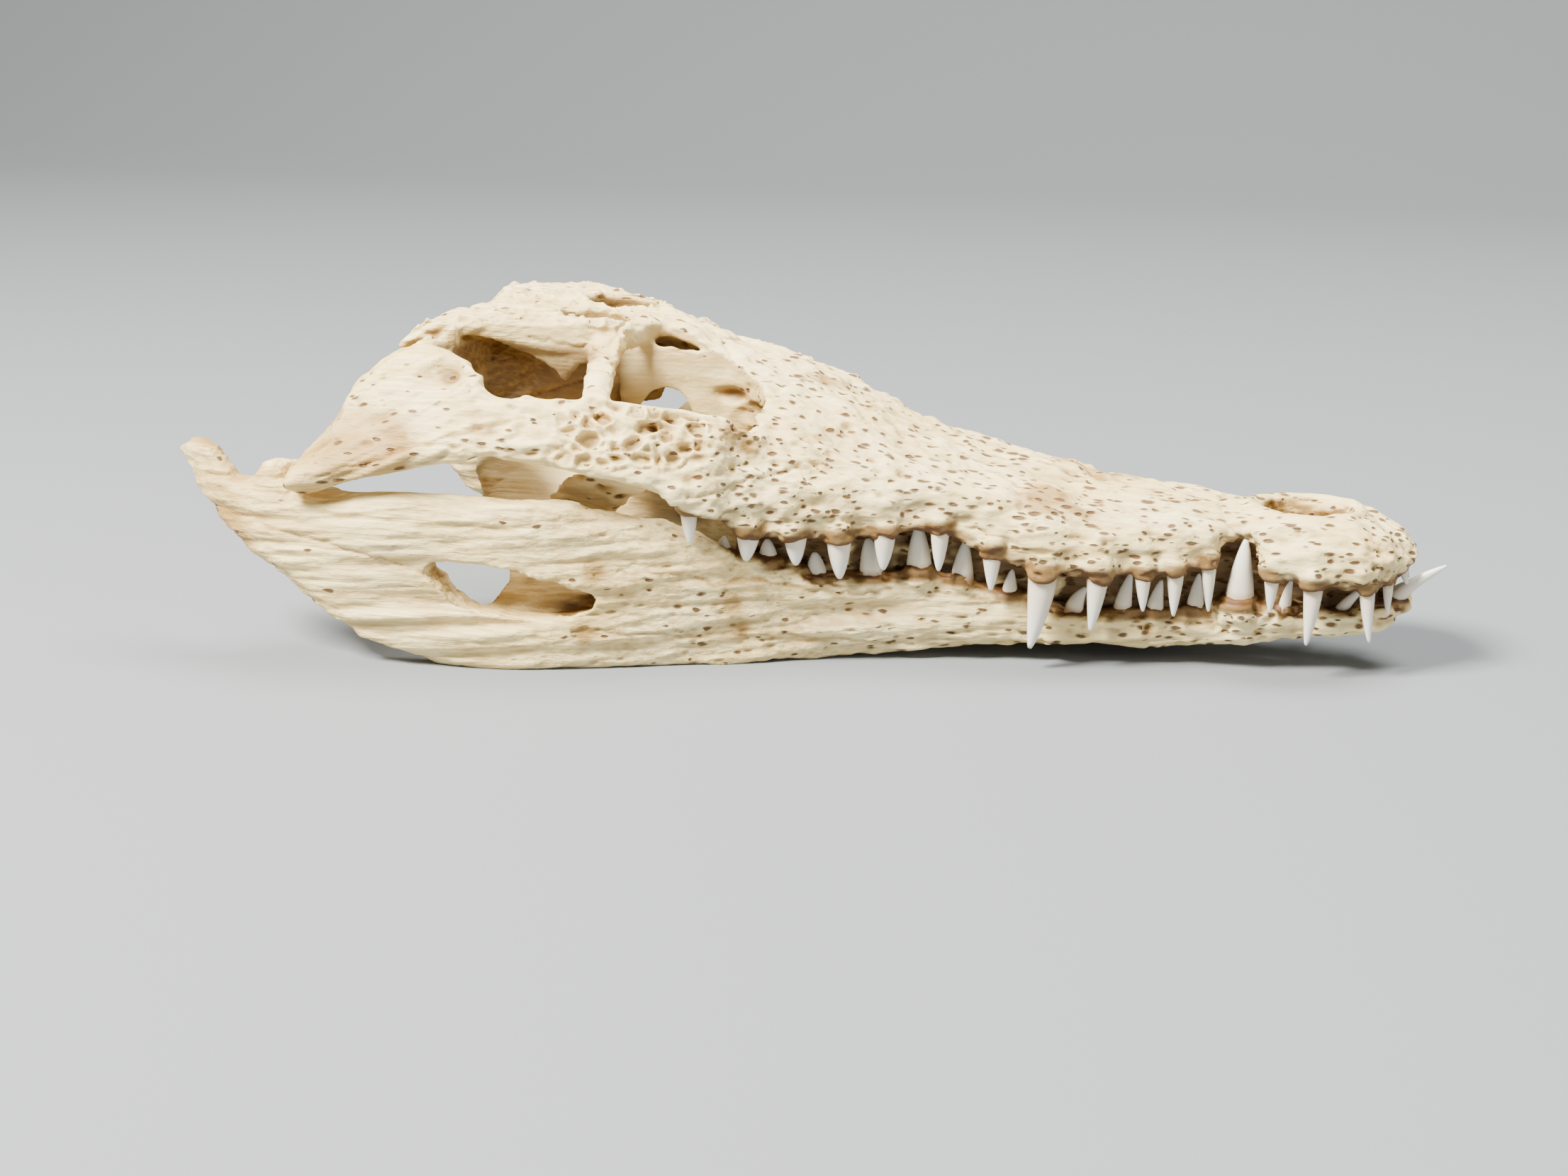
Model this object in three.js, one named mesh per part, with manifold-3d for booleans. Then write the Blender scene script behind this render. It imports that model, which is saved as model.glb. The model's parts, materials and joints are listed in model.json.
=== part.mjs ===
// Skull of a crocodile with its lower jaw, mouth closed, lying on the jaw.
// Millimetres, +Z up, +X towards the tip of the snout. The part rests on z = 0.

import * as THREE from "three";
import { mergeVertices } from "three/addons/utils/BufferGeometryUtils.js";
import Module from "manifold-3d";

const wasm = await Module();
wasm.setup();

// Driving dimensions. s is the distance back from the front of the snout.

const ROSTRUM_END = 228;
const ORBIT = { s: 232, y: 30.6, rs: 33, ry: 19.6, floor: 53 };
const NARIS = { s: 34, rs: 14.5, ry: 12, depth: 15 };
const INCISIVE_HOLE = { s: 30, rs: 7, ry: 5 };
const UPPER_WINDOW = { s: 260, y: 14.8, rs: 12, ry: 8.5 };
const SUBORBITAL = { s: 201, y: 27, rs: 37, ry: 13, z: 43.5, rz: 27 };
const SYMPHYSIS_END = 72;
const JUGAL_START = 203.8;
const JUGAL_END = 274.7;
const DENTARY_END = 239.5;
const ARTICULAR_START = 323.7;
const JOINT_GAP = 0.34;
const CLEARANCE = 0.45;
const REST_LEVEL = 0;
const TOOTH_STOUT = 5.7;

const BONE = { color: 0xe8dfc8, roughness: 0.72, metalness: 0 };
const JAW_BONE = { color: 0xe3d8be, roughness: 0.72, metalness: 0 };
const WARM_BONE = { color: 0xd9c7a2, roughness: 0.75, metalness: 0 };

// Upper teeth: s and y of the root, height of the gum line, s of the tip,
// height of the tip, thickness fore and aft, outward lean of the tip.

const UPPER_TEETH = [
  [3.6, 5.2, 33.8, 1.5, 27.3, 2.6, 0.4],
  [7.5, 11, 31.3, 7, 19.3, 3.4, 0.8],
  [13.5, 16.6, 31.3, 11.8, 12.2, 4.9, 1.4],
  [29, 21.6, 32.8, 30.4, 11.4, 6, 1.2],
  [41.7, 20.4, 34.8, 41.9, 20.4, 5, 0.6],
  [60.9, 20.6, 36.8, 60.4, 19.4, 4.7, 0.5],
  [70.6, 23.6, 34.8, 70.7, 18, 5.5, 0.6],
  [80.2, 26.2, 33.8, 79.8, 19.6, 5.3, 0.6],
  [93.4, 29.6, 33.8, 95.3, 13.2, 7, 0.8],
  [109.6, 33, 34.8, 113.4, 7.2, 9.4, 0.8],
  [125.8, 33.3, 39.8, 126, 24.8, 6.3, 0.4],
  [141.9, 34.9, 46.1, 142.2, 30.3, 6, 0.3],
  [158.5, 38.7, 44.5, 158.9, 30.5, 6.8, 0.2],
  [172.1, 42.7, 43.8, 171.7, 27.8, 7.8, 0.2],
  [184.8, 47.2, 44.2, 184.5, 32.4, 7.2, 0.2],
  [198.4, 51.7, 45.5, 199.3, 33.9, 7.4, 0.2],
  [215.2, 59.3, 52, 214.9, 40.5, 5.2, 0.1],
];

// Lower teeth, in the same order of values.

const LOWER_TEETH = [
  [7, 4.2, 19.8, -7.2, 35, 4.6, 0.5],
  [22.4, 8.6, 16.3, 13.4, 28, 4.4, 1.2],
  [38.2, 11.6, 17.3, 36.2, 29.4, 4.2, 0.8],
  [51.6, 15.8, 19.8, 50.4, 41.8, 9, 0.8],
  [65, 15.4, 16.8, 64.2, 29.8, 5.8, 0.6],
  [77.4, 17.2, 15.8, 75.4, 27.4, 5.6, 0.5],
  [87.2, 18.8, 15.8, 84.6, 29.6, 5.8, 0.5],
  [102, 21.6, 16.3, 98.2, 24.6, 6, 0.5],
  [121.6, 24.8, 20.3, 120.8, 29.6, 5.2, 0.5],
  [136.2, 27.2, 25, 135.2, 38.6, 7, 0.5],
  [149.4, 29.6, 26.7, 149.8, 43.6, 8, 0.5],
  [163.7, 32.8, 25.5, 165.2, 38.7, 7.6, 0.4],
  [180.5, 37.1, 25.8, 181.1, 34.2, 6.4, 0.3],
  [194.9, 41.8, 30.1, 195.1, 38.7, 6.4, 0.2],
  [207.7, 47.2, 33.4, 207.5, 40, 5, 0.1],
];

// A smooth function through pairs of station and value.

function profile(pairs) {
  const slopes = pairs.map((knot, i) => {
    if (i === 0 || i === pairs.length - 1) return 0;
    const before = (knot[1] - pairs[i - 1][1]) / (knot[0] - pairs[i - 1][0]);
    const after = (pairs[i + 1][1] - knot[1]) / (pairs[i + 1][0] - knot[0]);
    return before * after <= 0 ? 0 : (2 * before * after) / (before + after);
  });
  return (station) => {
    if (station <= pairs[0][0]) return pairs[0][1];
    const last = pairs.length - 1;
    if (station >= pairs[last][0]) return pairs[last][1];
    let i = 0;
    while (pairs[i + 1][0] < station) i += 1;
    const span = pairs[i + 1][0] - pairs[i][0];
    const t = (station - pairs[i][0]) / span;
    const rise = pairs[i + 1][1] - pairs[i][1];
    const ease = t * t * (3 - 2 * t);
    const lead = t * (1 - t) * (1 - t) * slopes[i] * span;
    const tail = t * t * (1 - t) * slopes[i + 1] * span;
    return pairs[i][1] + rise * ease + lead - tail;
  };
}

// A point at s back from the snout, y to the left and z up.

function at(s, y, z) {
  return new THREE.Vector3(-s, y, z);
}

function power(value, exponent) {
  return Math.sign(value) * Math.abs(value) ** exponent;
}

function range(from, to, count) {
  return Array.from({ length: count }, (_, i) => from + ((to - from) * i) / (count - 1));
}

// The unit normal of a flat ring of points.

function ringNormal(ring) {
  const normal = new THREE.Vector3();
  ring.forEach((p, i) => {
    const q = ring[(i + 1) % ring.length];
    normal.x += (p.y - q.y) * (p.z + q.z);
    normal.y += (p.z - q.z) * (p.x + q.x);
    normal.z += (p.x - q.x) * (p.y + q.y);
  });
  return normal.normalize();
}

// The ring moved outwards within its own plane.

function grown(ring, by) {
  const normal = ringNormal(ring);
  return ring.map((p, i) => {
    const before = ring[(i + ring.length - 1) % ring.length];
    const after = ring[(i + 1) % ring.length];
    const along = after.clone().sub(before).normalize();
    return p.clone().addScaledVector(along.cross(normal), by);
  });
}

// Triangles that close a ring.

function cap(ring) {
  const normal = ringNormal(ring);
  const u = ring[1].clone().sub(ring[0]).normalize();
  const v = normal.clone().cross(u);
  const flat = ring.map((p) => new THREE.Vector2(p.dot(u), p.dot(v)));
  return THREE.ShapeUtils.triangulateShape(flat, []);
}

// A closed solid from a list of points and triangles, faces out.

function solid(points, triangles) {
  let volume = 0;
  for (const [a, b, c] of triangles) {
    volume += points[a].dot(points[b].clone().cross(points[c]));
  }
  const faces = volume < 0 ? triangles.map(([a, b, c]) => [a, c, b]) : triangles;
  return new wasm.Manifold(
    new wasm.Mesh({
      numProp: 3,
      vertProperties: new Float32Array(points.flatMap((p) => [p.x, p.y, p.z])),
      triVerts: new Uint32Array(faces.flat()),
    }),
  );
}

// A skin through rings of equal count, closed at both ends.

function loft(rings, grow = 0) {
  const list = grow ? rings.map((ring) => grown(ring, grow)) : rings;
  const count = list[0].length;
  const points = list.flat();
  const triangles = [];
  for (let r = 0; r + 1 < list.length; r += 1) {
    for (let i = 0; i < count; i += 1) {
      const a = r * count + i;
      const b = r * count + ((i + 1) % count);
      triangles.push([a, b, b + count], [a, b + count, a + count]);
    }
  }
  const end = (list.length - 1) * count;
  cap(list[0]).forEach(([a, b, c]) => triangles.push([a, c, b]));
  cap(list[list.length - 1]).forEach(([a, b, c]) => triangles.push([end + a, end + b, end + c]));
  return solid(points, triangles);
}

// A three.js geometry as a solid.

function fromGeometry(geometry) {
  const bare = geometry.clone();
  bare.deleteAttribute("normal");
  bare.deleteAttribute("uv");
  const merged = mergeVertices(bare, 1e-4);
  const spots = merged.attributes.position;
  const points = range(0, spots.count - 1, spots.count).map((i) => (
    new THREE.Vector3().fromBufferAttribute(spots, Math.round(i))
  ));
  const index = merged.index.array;
  const triangles = [];
  for (let i = 0; i < index.length; i += 3) {
    triangles.push([index[i], index[i + 1], index[i + 2]]);
  }
  return solid(points, triangles);
}

function ellipsoid(s, y, z, rs, ry, rz, detail = 12) {
  const geometry = new THREE.SphereGeometry(1, detail, Math.round(detail / 2));
  geometry.scale(rs, ry, rz);
  geometry.translate(-s, y, z);
  return fromGeometry(geometry);
}

function box(s0, s1, y0, y1, z0, z1) {
  const geometry = new THREE.BoxGeometry(s1 - s0, y1 - y0, z1 - z0);
  geometry.translate(-(s0 + s1) / 2, (y0 + y1) / 2, (z0 + z1) / 2);
  return fromGeometry(geometry);
}

// An upright elliptic well from z0 to z1.

function well(s, y, rs, ry, z0, z1, flare = 1, sides = 16) {
  const geometry = new THREE.CylinderGeometry(flare, 1, z1 - z0, sides);
  geometry.rotateX(Math.PI / 2);
  geometry.scale(rs, ry, 1);
  geometry.translate(-s, y, (z0 + z1) / 2);
  return fromGeometry(geometry);
}

function joined(list) {
  return list.reduce((whole, piece) => whole.add(piece));
}

function without(whole, list) {
  return list.reduce((rest, piece) => rest.subtract(piece), whole);
}

function mirrored(piece) {
  return piece.mirror([0, 1, 0]);
}

function pair(piece) {
  return [piece, mirrored(piece)];
}

// A leaning slab of bone: each station holds s, the lower edge y and z,
// the upper edge y and z, and the thickness. side is +1 left, -1 right.

function strip(stations, side, count, grow = 0, squareness = 3) {
  const rings = stations.map(([s, y0, z0, y1, z1, thick]) => {
    const middle = at(s, (side * (y0 + y1)) / 2, (z0 + z1) / 2);
    const rise = at(0, (side * (y1 - y0)) / 2, (z1 - z0) / 2);
    const across = at(0, -rise.z, rise.y).normalize();
    return range(0, (2 * Math.PI * (count - 1)) / count, count).map((angle) => (
      middle
        .clone()
        .addScaledVector(rise, power(Math.sin(angle), 2 / squareness))
        .addScaledVector(across, (thick / 2) * power(Math.cos(angle), 2 / squareness))
    ));
  });
  return loft(rings, grow);
}

// A bent and tapered tooth with its root sunk in the bone.

const toothTaper = profile([[-1, 0.8], [0.05, 0.98], [0.45, 0.86], [0.8, 0.48], [1, 0.08]]);

function tooth([s, y, gum, tipS, tipZ, thick, lean], side, grow = 0) {
  const up = Math.sign(tipZ - gum);
  const height = Math.abs(tipZ - gum);
  const root = 3.2;
  const middle = (level) => at(
    s + (tipS - s) * (level <= 0 ? level * 0.4 : level * (level * 0.6 + 0.4)),
    side * (y + lean * level * (1.5 - level)),
    gum + up * height * level,
  );
  const levels = grow ? [-root / height, 0.62, 1.05] : [-root / height, 0.42, 0.8, 1];
  const sides = grow || thick < TOOTH_STOUT ? 5 : 6;
  const rings = levels.map((level) => {
    const along = middle(level + 0.02).sub(middle(level - 0.02)).normalize();
    const fore = at(-1, 0, 0).addScaledVector(along, -at(-1, 0, 0).dot(along)).normalize();
    const across = along.clone().cross(fore);
    const reach = (thick / 2) * toothTaper(level) + grow;
    return range(0, 2 * Math.PI * (1 - 1 / sides), sides).map((angle) => (
      middle(level)
        .addScaledVector(fore, reach * Math.cos(angle))
        .addScaledVector(across, reach * 0.86 * Math.sin(angle))
    ));
  });
  return loft(rings);
}

function teeth(table, grow = 0) {
  return [1, -1].flatMap((side) => table.map((row) => tooth(row, side, grow)));
}

// How near s is to a tooth of the table, 1 at its middle.

function socketSwell(table, s) {
  return Math.max(...table.map(([root, , , , , thick]) => (
    Math.exp(-(((s - root) / (thick * 0.62)) ** 2)) * Math.min(1, thick / 6)
  )));
}

// Snout: half width, top, edge of the tooth row and squareness by station.

const snoutWidth = profile([
  [0, 5], [2, 9.5], [5, 13.6], [10, 18.2], [16, 21.6], [24, 23.6], [32, 24.2], [40, 23],
  [46, 19.6], [51, 16.2], [55, 17], [60, 21], [70, 25], [80, 27.8], [93, 31.6], [104, 35],
  [112, 36], [122, 34.8], [139.7, 36.4], [159.2, 41.2], [173.7, 45.9], [188.2, 51.7],
  [197.9, 55.5], [206.6, 59.3], [224.9, 66],
]);
const snoutTop = profile([
  [0, 37.8], [2, 40.3], [6, 43.4], [12, 46.6], [20, 49.6], [35, 50.4], [50, 49.4], [60, 50],
  [78, 51.2], [98, 52.6], [106, 54.6], [113, 56.6], [124, 57.8], [133, 59], [142, 62.2],
  [156, 67], [163, 70.2], [170, 73.6], [184, 80.6], [199, 85.6], [210, 89], [220, 92.6],
  [ROSTRUM_END, 95.4],
]);
const snoutEdge = profile([
  [0, 34.3], [6, 32.6], [14, 31.6], [22, 32.2], [30, 31.8], [36, 34.2], [42, 34.3],
  [47, 38.8], [53, 42.8], [59, 38.3], [66, 36.4], [80, 34.6], [94, 33], [109, 33.2],
  [116, 35.8], [122, 39.4], [134.8, 45.5], [147.5, 46.3], [154.3, 44.5], [168.9, 43.4],
  [180.5, 43.2], [193, 45.9], [206.6, 47.5], [217.2, 54.2], [224.9, 58.3],
]);
const snoutShoulder = profile([
  [0, 1], [20, 3], [50, 3], [100, 8], [150, 8], [190, 9], [ROSTRUM_END, 10],
]);
const snoutSquareness = profile([
  [0, 2.2], [30, 2.6], [60, 2.4], [110, 2.2], [160, 1.95], [192, 1.88], [206, 1.74], [ROSTRUM_END, 1.74],
]);

function snoutRing(s) {
  const swell = socketSwell(UPPER_TEETH, s);
  const half = snoutWidth(s) + 0.7 * swell;
  const edge = snoutEdge(s) - 1.3 * swell;
  const top = snoutTop(s);
  const shoulder = Math.min(snoutEdge(s) + snoutShoulder(s), top - 2);
  const roof = shoulder + 2 < top ? top - shoulder : 2;
  const exponent = 2 / snoutSquareness(s);
  const ring = range(0, Math.PI, 13).map((angle) => at(
    s,
    half * power(Math.cos(angle), exponent),
    shoulder + roof * power(Math.sin(angle), exponent),
  ));
  const rim = Math.min(7.5, half * 0.4);
  const palate = edge + Math.min(4, half * 0.25);
  const under = [
    [half - 0.3, edge + 1.6], [half - rim * 0.35, edge], [half - rim * 0.7, edge + 0.5],
    [half - rim, edge + 2.2], [half * 0.25, palate],
  ];
  under.forEach(([y, z]) => ring.push(at(s, -y, z)));
  under.slice().reverse().forEach(([y, z]) => ring.push(at(s, y, z)));
  return ring;
}

const SNOUT_STATIONS = [
  0, 1, 2.5, 5, 8, 11, 14.5, 19, 24, 29, 33.5, 38, 42, 46, 49, 52, 55, 60.9, 65.5, 70.6, 75.4,
  80.2, 86.5, 93.4, 99.5, 104.5, 109.6, 114.5, 120, 125.8, 131, 136.5, 142, 147, 152.5, 158.5,
  165, 172, 178, 184.8, 191.5, 198.4, 205, 210, 216, 222, ROSTRUM_END,
];

// Cheek bar under the eye socket and the slanting wall behind it.

const CHEEK = [
  [JUGAL_START + JOINT_GAP, 60.5, 47.7, 50.4, 80.2, 9],
  [208.6, 62.6, 48.6, 51.4, 80.2, 8.4],
  [214.3, 64.8, 51.6, 52.8, 80.4, 7.6],
  [220.2, 66.7, 55.9, 54.4, 81, 7],
  [227, 68.8, 59.2, 56.4, 82, 6.6],
  [234.8, 70.5, 61.4, 58.4, 83.2, 6.4],
  [242.6, 71.8, 62.7, 60.4, 84.1, 6.2],
  [250.4, 73.1, 64.4, 62.6, 84.1, 6],
  [258.2, 74.5, 66.3, 65, 83.4, 6],
  [265.9, 76.3, 67.4, 67.3, 82.9, 6],
  [JUGAL_END, 78, 67.6, 67.6, 85.1, 6.2],
];
const SIDE_WALL = [
  [JUGAL_END + JOINT_GAP, 78, 67.6, 67.6, 85.1, 6.2],
  [279.6, 79, 67.1, 63.7, 88.8, 6.8],
  [286.7, 80.3, 66.3, 56.2, 92.4, 7.6],
  [294.6, 81.7, 64.8, 50.5, 94.2, 8.4],
  [302.5, 82.7, 63.1, 49, 96, 9],
  [310.4, 83.7, 61.5, 50, 94, 9.4],
  [317.1, 84.4, 59.7, 51.2, 89.6, 9.6],
  [323.4, 85, 57.8, 52.8, 84.4, 9.8],
  [327.4, 85.4, 56.9, 54, 76, 10.4],
  [331, 85.6, 56.6, 54, 69.4, 10.8],
  [334.4, 85.7, 57, 54, 65, 10],
  [336.8, 84.5, 58, 55.6, 62.4, 7.6],
];

function cheek(side, grow = 0) {
  return strip(CHEEK, side, 12, grow);
}

function sideWall(side, grow = 0) {
  return strip(SIDE_WALL, side, 12, grow, 3.4);
}

// Roof of the skull: half width, top and lower face by station.

const roofWidth = profile([
  [221, 13], [228, 10.8], [235, 10.2], [240, 12], [244, 17], [248, 24], [253, 28.4],
  [260, 30.4], [275, 32.8], [290, 35.4], [300, 37.6], [306, 38.4], [309, 37.4],
]);
const roofTop = profile([
  [221, 93.6], [228, 96.6], [236, 99], [243, 100.6], [252, 101.8], [265, 102.6], [285, 103.2],
  [298, 102.8], [304, 102], [309, 100.8],
]);
const roofFloor = profile([
  [221, 86.3], [236, 89.8], [246, 91.3], [256, 90.8], [270, 91.4], [280, 94.2], [290, 95.8],
  [304, 97.6], [309, 98],
]);

function roofRing(s) {
  const half = roofWidth(s);
  const top = roofTop(s);
  const floor = roofFloor(s);
  const dip = 1.2;
  const edge = Math.min(4, half * 0.3);
  const inner = Math.min(floor + 3.4, top - 4.5);
  const keel = 1 - THREE.MathUtils.smoothstep(s, 238, 248);
  const blend = (plain, keeled) => THREE.MathUtils.lerp(plain, keeled, keel);
  const side = [
    [half * 0.45, top - dip * 0.6],
    [half - edge, top],
    [half - 0.6, top - 1.2],
    [half, top - blend(3, 2.2)],
    [half - 0.4, blend(floor + 0.6, top - 3.6)],
    [blend(half - 2, half * 0.66), blend(floor, (top + floor) / 2 - 1)],
    [blend(half - edge - 1, half * 0.36), blend(inner, floor)],
  ];
  const left = side.map(([y, z]) => at(s, y, z));
  const right = side.slice().reverse().map(([y, z]) => at(s, -y, z));
  return [at(s, 0, top - dip), ...left, ...right];
}

const ROOF_STATIONS = [
  221 + JOINT_GAP, 226, 231, 236, 240, 243.5, 247, 250, 253, 257, 262, 268, 275, 282, 289, 295,
  299, 303, 306.5, 309,
];

function roof(grow = 0) {
  const plate = loft(ROOF_STATIONS.map(roofRing), grow);
  const windows = pair(well(
    UPPER_WINDOW.s, UPPER_WINDOW.y, UPPER_WINDOW.rs - grow, UPPER_WINDOW.ry - grow, 80, 120, 1.08,
  ));
  const notch = well(314, 0, 14, 29, 80, 120, 1);
  return without(plate, grow ? windows : [...windows, notch]);
}

// The bar between eye socket and temple, from cheek to roof.

const ORBIT_BAR = [
  [244, 61.5, 80, 5.4, 3.8],
  [244.4, 59, 84.6, 4.6, 3.4],
  [246, 51, 87.4, 4.2, 3.2],
  [248.4, 42, 89.6, 4.4, 3.2],
  [250.6, 33, 91.4, 5.2, 3.8],
  [252.6, 24, 95.4, 7, 4.6],
];

function orbitBar(side) {
  const rings = ORBIT_BAR.map(([s, y, z, rs, rz], i) => {
    const next = ORBIT_BAR[Math.min(i + 1, ORBIT_BAR.length - 1)];
    const last = ORBIT_BAR[Math.max(i - 1, 0)];
    const along = at(0, side * (next[1] - last[1]), next[2] - last[2]).normalize();
    const across = new THREE.Vector3(1, 0, 0).cross(along).normalize();
    return range(0, (2 * Math.PI * 9) / 10, 10).map((angle) => (
      at(s, side * y, z)
        .add(at(rs * Math.cos(angle), 0, 0))
        .addScaledVector(across, rz * Math.sin(angle))
    ));
  });
  return loft(rings);
}

// Braincase: half width, top and floor by station.

const BRAINCASE = [
  [250, 8, 92.8, 77.8],
  [256, 9, 93.8, 67.8],
  [266, 10.5, 93.8, 61.8],
  [278, 15, 94.8, 58.8],
  [286, 21, 96.8, 56.8],
  [293, 24, 97.4, 54.8],
  [298, 24, 96.8, 53.8],
  [301.5, 20, 95.4, 55.8],
];

function braincase(grow = 0) {
  const core = loft(BRAINCASE.map(([s, half, top, floor]) => (
    range(0, (2 * Math.PI * 13) / 14, 14).map((angle) => at(
      s,
      half * power(Math.cos(angle), 0.7),
      (top + floor) / 2 + ((top - floor) / 2) * power(Math.sin(angle), 0.7),
    ))
  )), grow);
  const wings = [1, -1].map((side) => wing(side, grow));
  const knob = ellipsoid(299.5, 0, 70.8, 6.5 + grow, 6.8 + grow, 5.6 + grow, 14);
  const stem = ellipsoid(296, 0, 65.8, 8 + grow, 11 + grow, 13 + grow, 12);
  const whole = joined([core, ...wings, knob, stem]);
  const hole = ellipsoid(304, 0, 82.3, 10, 6.4, 5, 12);
  return grow ? whole : without(whole, [hole]);
}

// The wing of the back wall: y, s of its middle, low and high edge, thickness.

const WING = [
  [9.6, 296, 76.3, 96.6, 11],
  [24.1, 298.5, 77, 97, 9.4],
  [36.2, 302, 78, 97.6, 8],
  [47.2, 306, 77.6, 97, 7],
  [55.7, 310, 76.6, 92.5, 6.4],
  [61.3, 313, 76, 86.4, 5],
];

function wing(side, grow = 0) {
  const rings = WING.map(([y, s, low, high, thick]) => (
    range(0, (2 * Math.PI * 9) / 10, 10).map((angle) => at(
      s + (thick / 2) * power(Math.cos(angle), 0.7),
      side * y,
      (low + high) / 2 + ((high - low) / 2) * power(Math.sin(angle), 0.7),
    ))
  ));
  return loft(rings, grow);
}

// Palate behind the snout: rows across the body with front, back, height, thickness.

const PALATE_WING = [
  [0, 236, 303, 57.8, 8],
  [10.6, 237.5, 301.5, 58.3, 7],
  [21.3, 245.9, 298.9, 57.2, 6],
  [31.9, 250.4, 295.4, 53.7, 5.6],
  [40.2, 252, 291, 49, 5.4],
  [46.1, 255.7, 286.7, 43.3, 5],
  [49.6, 260.5, 281.5, 38.4, 4],
];

function palateHalf(side, grow) {
  const rings = PALATE_WING.map(([y, front, back, z, thick]) => (
    range(0, (2 * Math.PI * 11) / 12, 12).map((angle) => at(
      (front + back) / 2 + ((back - front) / 2) * power(Math.cos(angle), 0.75),
      side * y,
      z + (thick / 2) * power(Math.sin(angle), 0.6),
    ))
  ));
  return loft(rings, grow);
}

const palateBarHalf = profile([
  [ROSTRUM_END, 8.2], [236, 8], [246, 9], [256, 11],
]);

function palate(grow = 0) {
  const bar = loft(range(229 + JOINT_GAP - grow, 256, 5).map((s) => (
    range(0, (2 * Math.PI * 11) / 12, 12).map((angle) => at(
      s,
      palateBarHalf(s) * power(Math.cos(angle), 0.7),
      56.3 + 6 * power(Math.sin(angle), 0.7),
    ))
  )), grow);
  const neck = ellipsoid(290, 0, 57.8, 15, 9, 9, 10);
  const whole = joined([bar, neck, palateHalf(1, grow), palateHalf(-1, grow)]);
  const choana = ellipsoid(287, 0, 52.4, 8, 5.5, 5.5, 12);
  return grow ? whole : without(whole, [choana]);
}

// Strut from the cheek down to the wing of the palate.

const STRUT = [
  [66, 212, 240, 72.6, 5],
  [62, 216, 243, 66.4, 5.6],
  [57, 226, 250, 59.4, 6],
  [52, 236, 260, 52.6, 6],
  [48.5, 243, 268, 45.8, 5.4],
  [47, 249, 272, 41.2, 4],
];

function strut(side, grow = 0) {
  const rings = STRUT.map(([y, front, back, z, thick]) => (
    range(0, (2 * Math.PI * 9) / 10, 10).map((angle) => at(
      (front + back) / 2 + ((back - front) / 2) * power(Math.cos(angle), 0.75),
      side * y,
      z + (thick / 2) * power(Math.sin(angle), 0.75),
    ))
  ));
  return loft(rings, grow);
}

// Lower jaw: outer half width, thickness, lower and upper edge by station.

const jawWidth = profile([
  [1.5, 5], [4, 8.4], [8, 11], [14, 13], [22, 14.6], [34, 16.2], [46, 18.6], [52, 19.4],
  [58, 18.6], [68, 18.6], [80, 20.6], [93, 23.2], [110, 25.8], [125, 28], [141.7, 31.4],
  [159.3, 35.8], [173.9, 40.2], [188.4, 45.6], [203, 51.6], [217.4, 58], [231.9, 64.4],
  [246.4, 70], [261, 74.6], [275.4, 77.8], [294.7, 80.8], [319, 83], [338.6, 83.6],
  [353.6, 80.8], [364, 77.2], [372, 73.2], [378, 69.5], [381.4, 67],
]);
const jawThick = profile([
  [1.5, 5], [72, 18.5], [76, 13.5], [90, 11.5], [120, 10.5], [159.3, 10.5], [198.1, 11],
  [236.7, 11.5], [294.7, 12], [316.1, 13], [324.9, 20], [331.8, 27], [339.6, 26],
  [347.6, 17], [357.7, 12], [370, 11.5], [381.4, 7.4],
]);
const jawFoot = profile([
  [1.5, 20.3], [5, 16.4], [10, 13.8], [20, 12], [32, 10.4], [47, 8.2], [60, 6.8], [84, 5],
  [104, 4.8], [126, 3.6], [149.5, 1.9], [169, 0.3], [184.6, -1.3], [227.1, -0.8],
  [270, -0.8], [288, -0.4], [294.7, 0.6], [300.5, 2.2], [307.3, 4.6], [319, 8.5], [330.8, 15.5],
  [342.6, 24.8], [354.6, 34.4], [364.6, 41.7], [373.8, 51.5], [381.4, 59.3],
]);
const jawEdge = profile([
  [1.5, 22.8], [4, 21.8], [12, 20.3], [31, 19.6], [44, 21.2], [50, 23.2], [58, 21.8],
  [68, 18.2], [83, 15.6], [98, 17.6], [115, 19.8], [130.9, 24.3], [148.6, 26.6],
  [167.1, 28.3], [178.7, 29.3], [189.4, 31.2], [201, 34.1], [209.7, 39.7], [218.4, 43.6],
  [229, 46.8], [237.7, 49.8], [248.4, 52.6], [270.6, 54.5], [294.7, 54.6], [319, 53.9],
  [326.9, 52.7], [332.8, 53], [338.6, 57], [343.6, 63], [347.6, 62.4], [355.7, 55.4],
  [363.6, 60.9], [371.6, 66.4], [377.4, 66.2], [381.4, 62.7],
]);

function jawRing(s, side) {
  const swell = socketSwell(LOWER_TEETH, s);
  const outer = jawWidth(s) + 0.5 * swell;
  const inner = s < SYMPHYSIS_END ? JOINT_GAP / 2 : Math.max(jawWidth(s) - jawThick(s), JOINT_GAP / 2);
  const edge = jawEdge(s) + 1.1 * swell;
  const foot = jawFoot(s);
  const middle = at(s, (side * (inner + outer)) / 2, (foot + edge) / 2);
  const across = (outer - inner) / 2;
  const rise = (edge - foot) / 2;
  return range(0, (2 * Math.PI * 11) / 12, 12).map((angle) => (
    middle.clone().add(at(
      0,
      side * across * power(Math.cos(angle), 0.62),
      rise * power(Math.sin(angle), 0.66),
    ))
  ));
}

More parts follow.
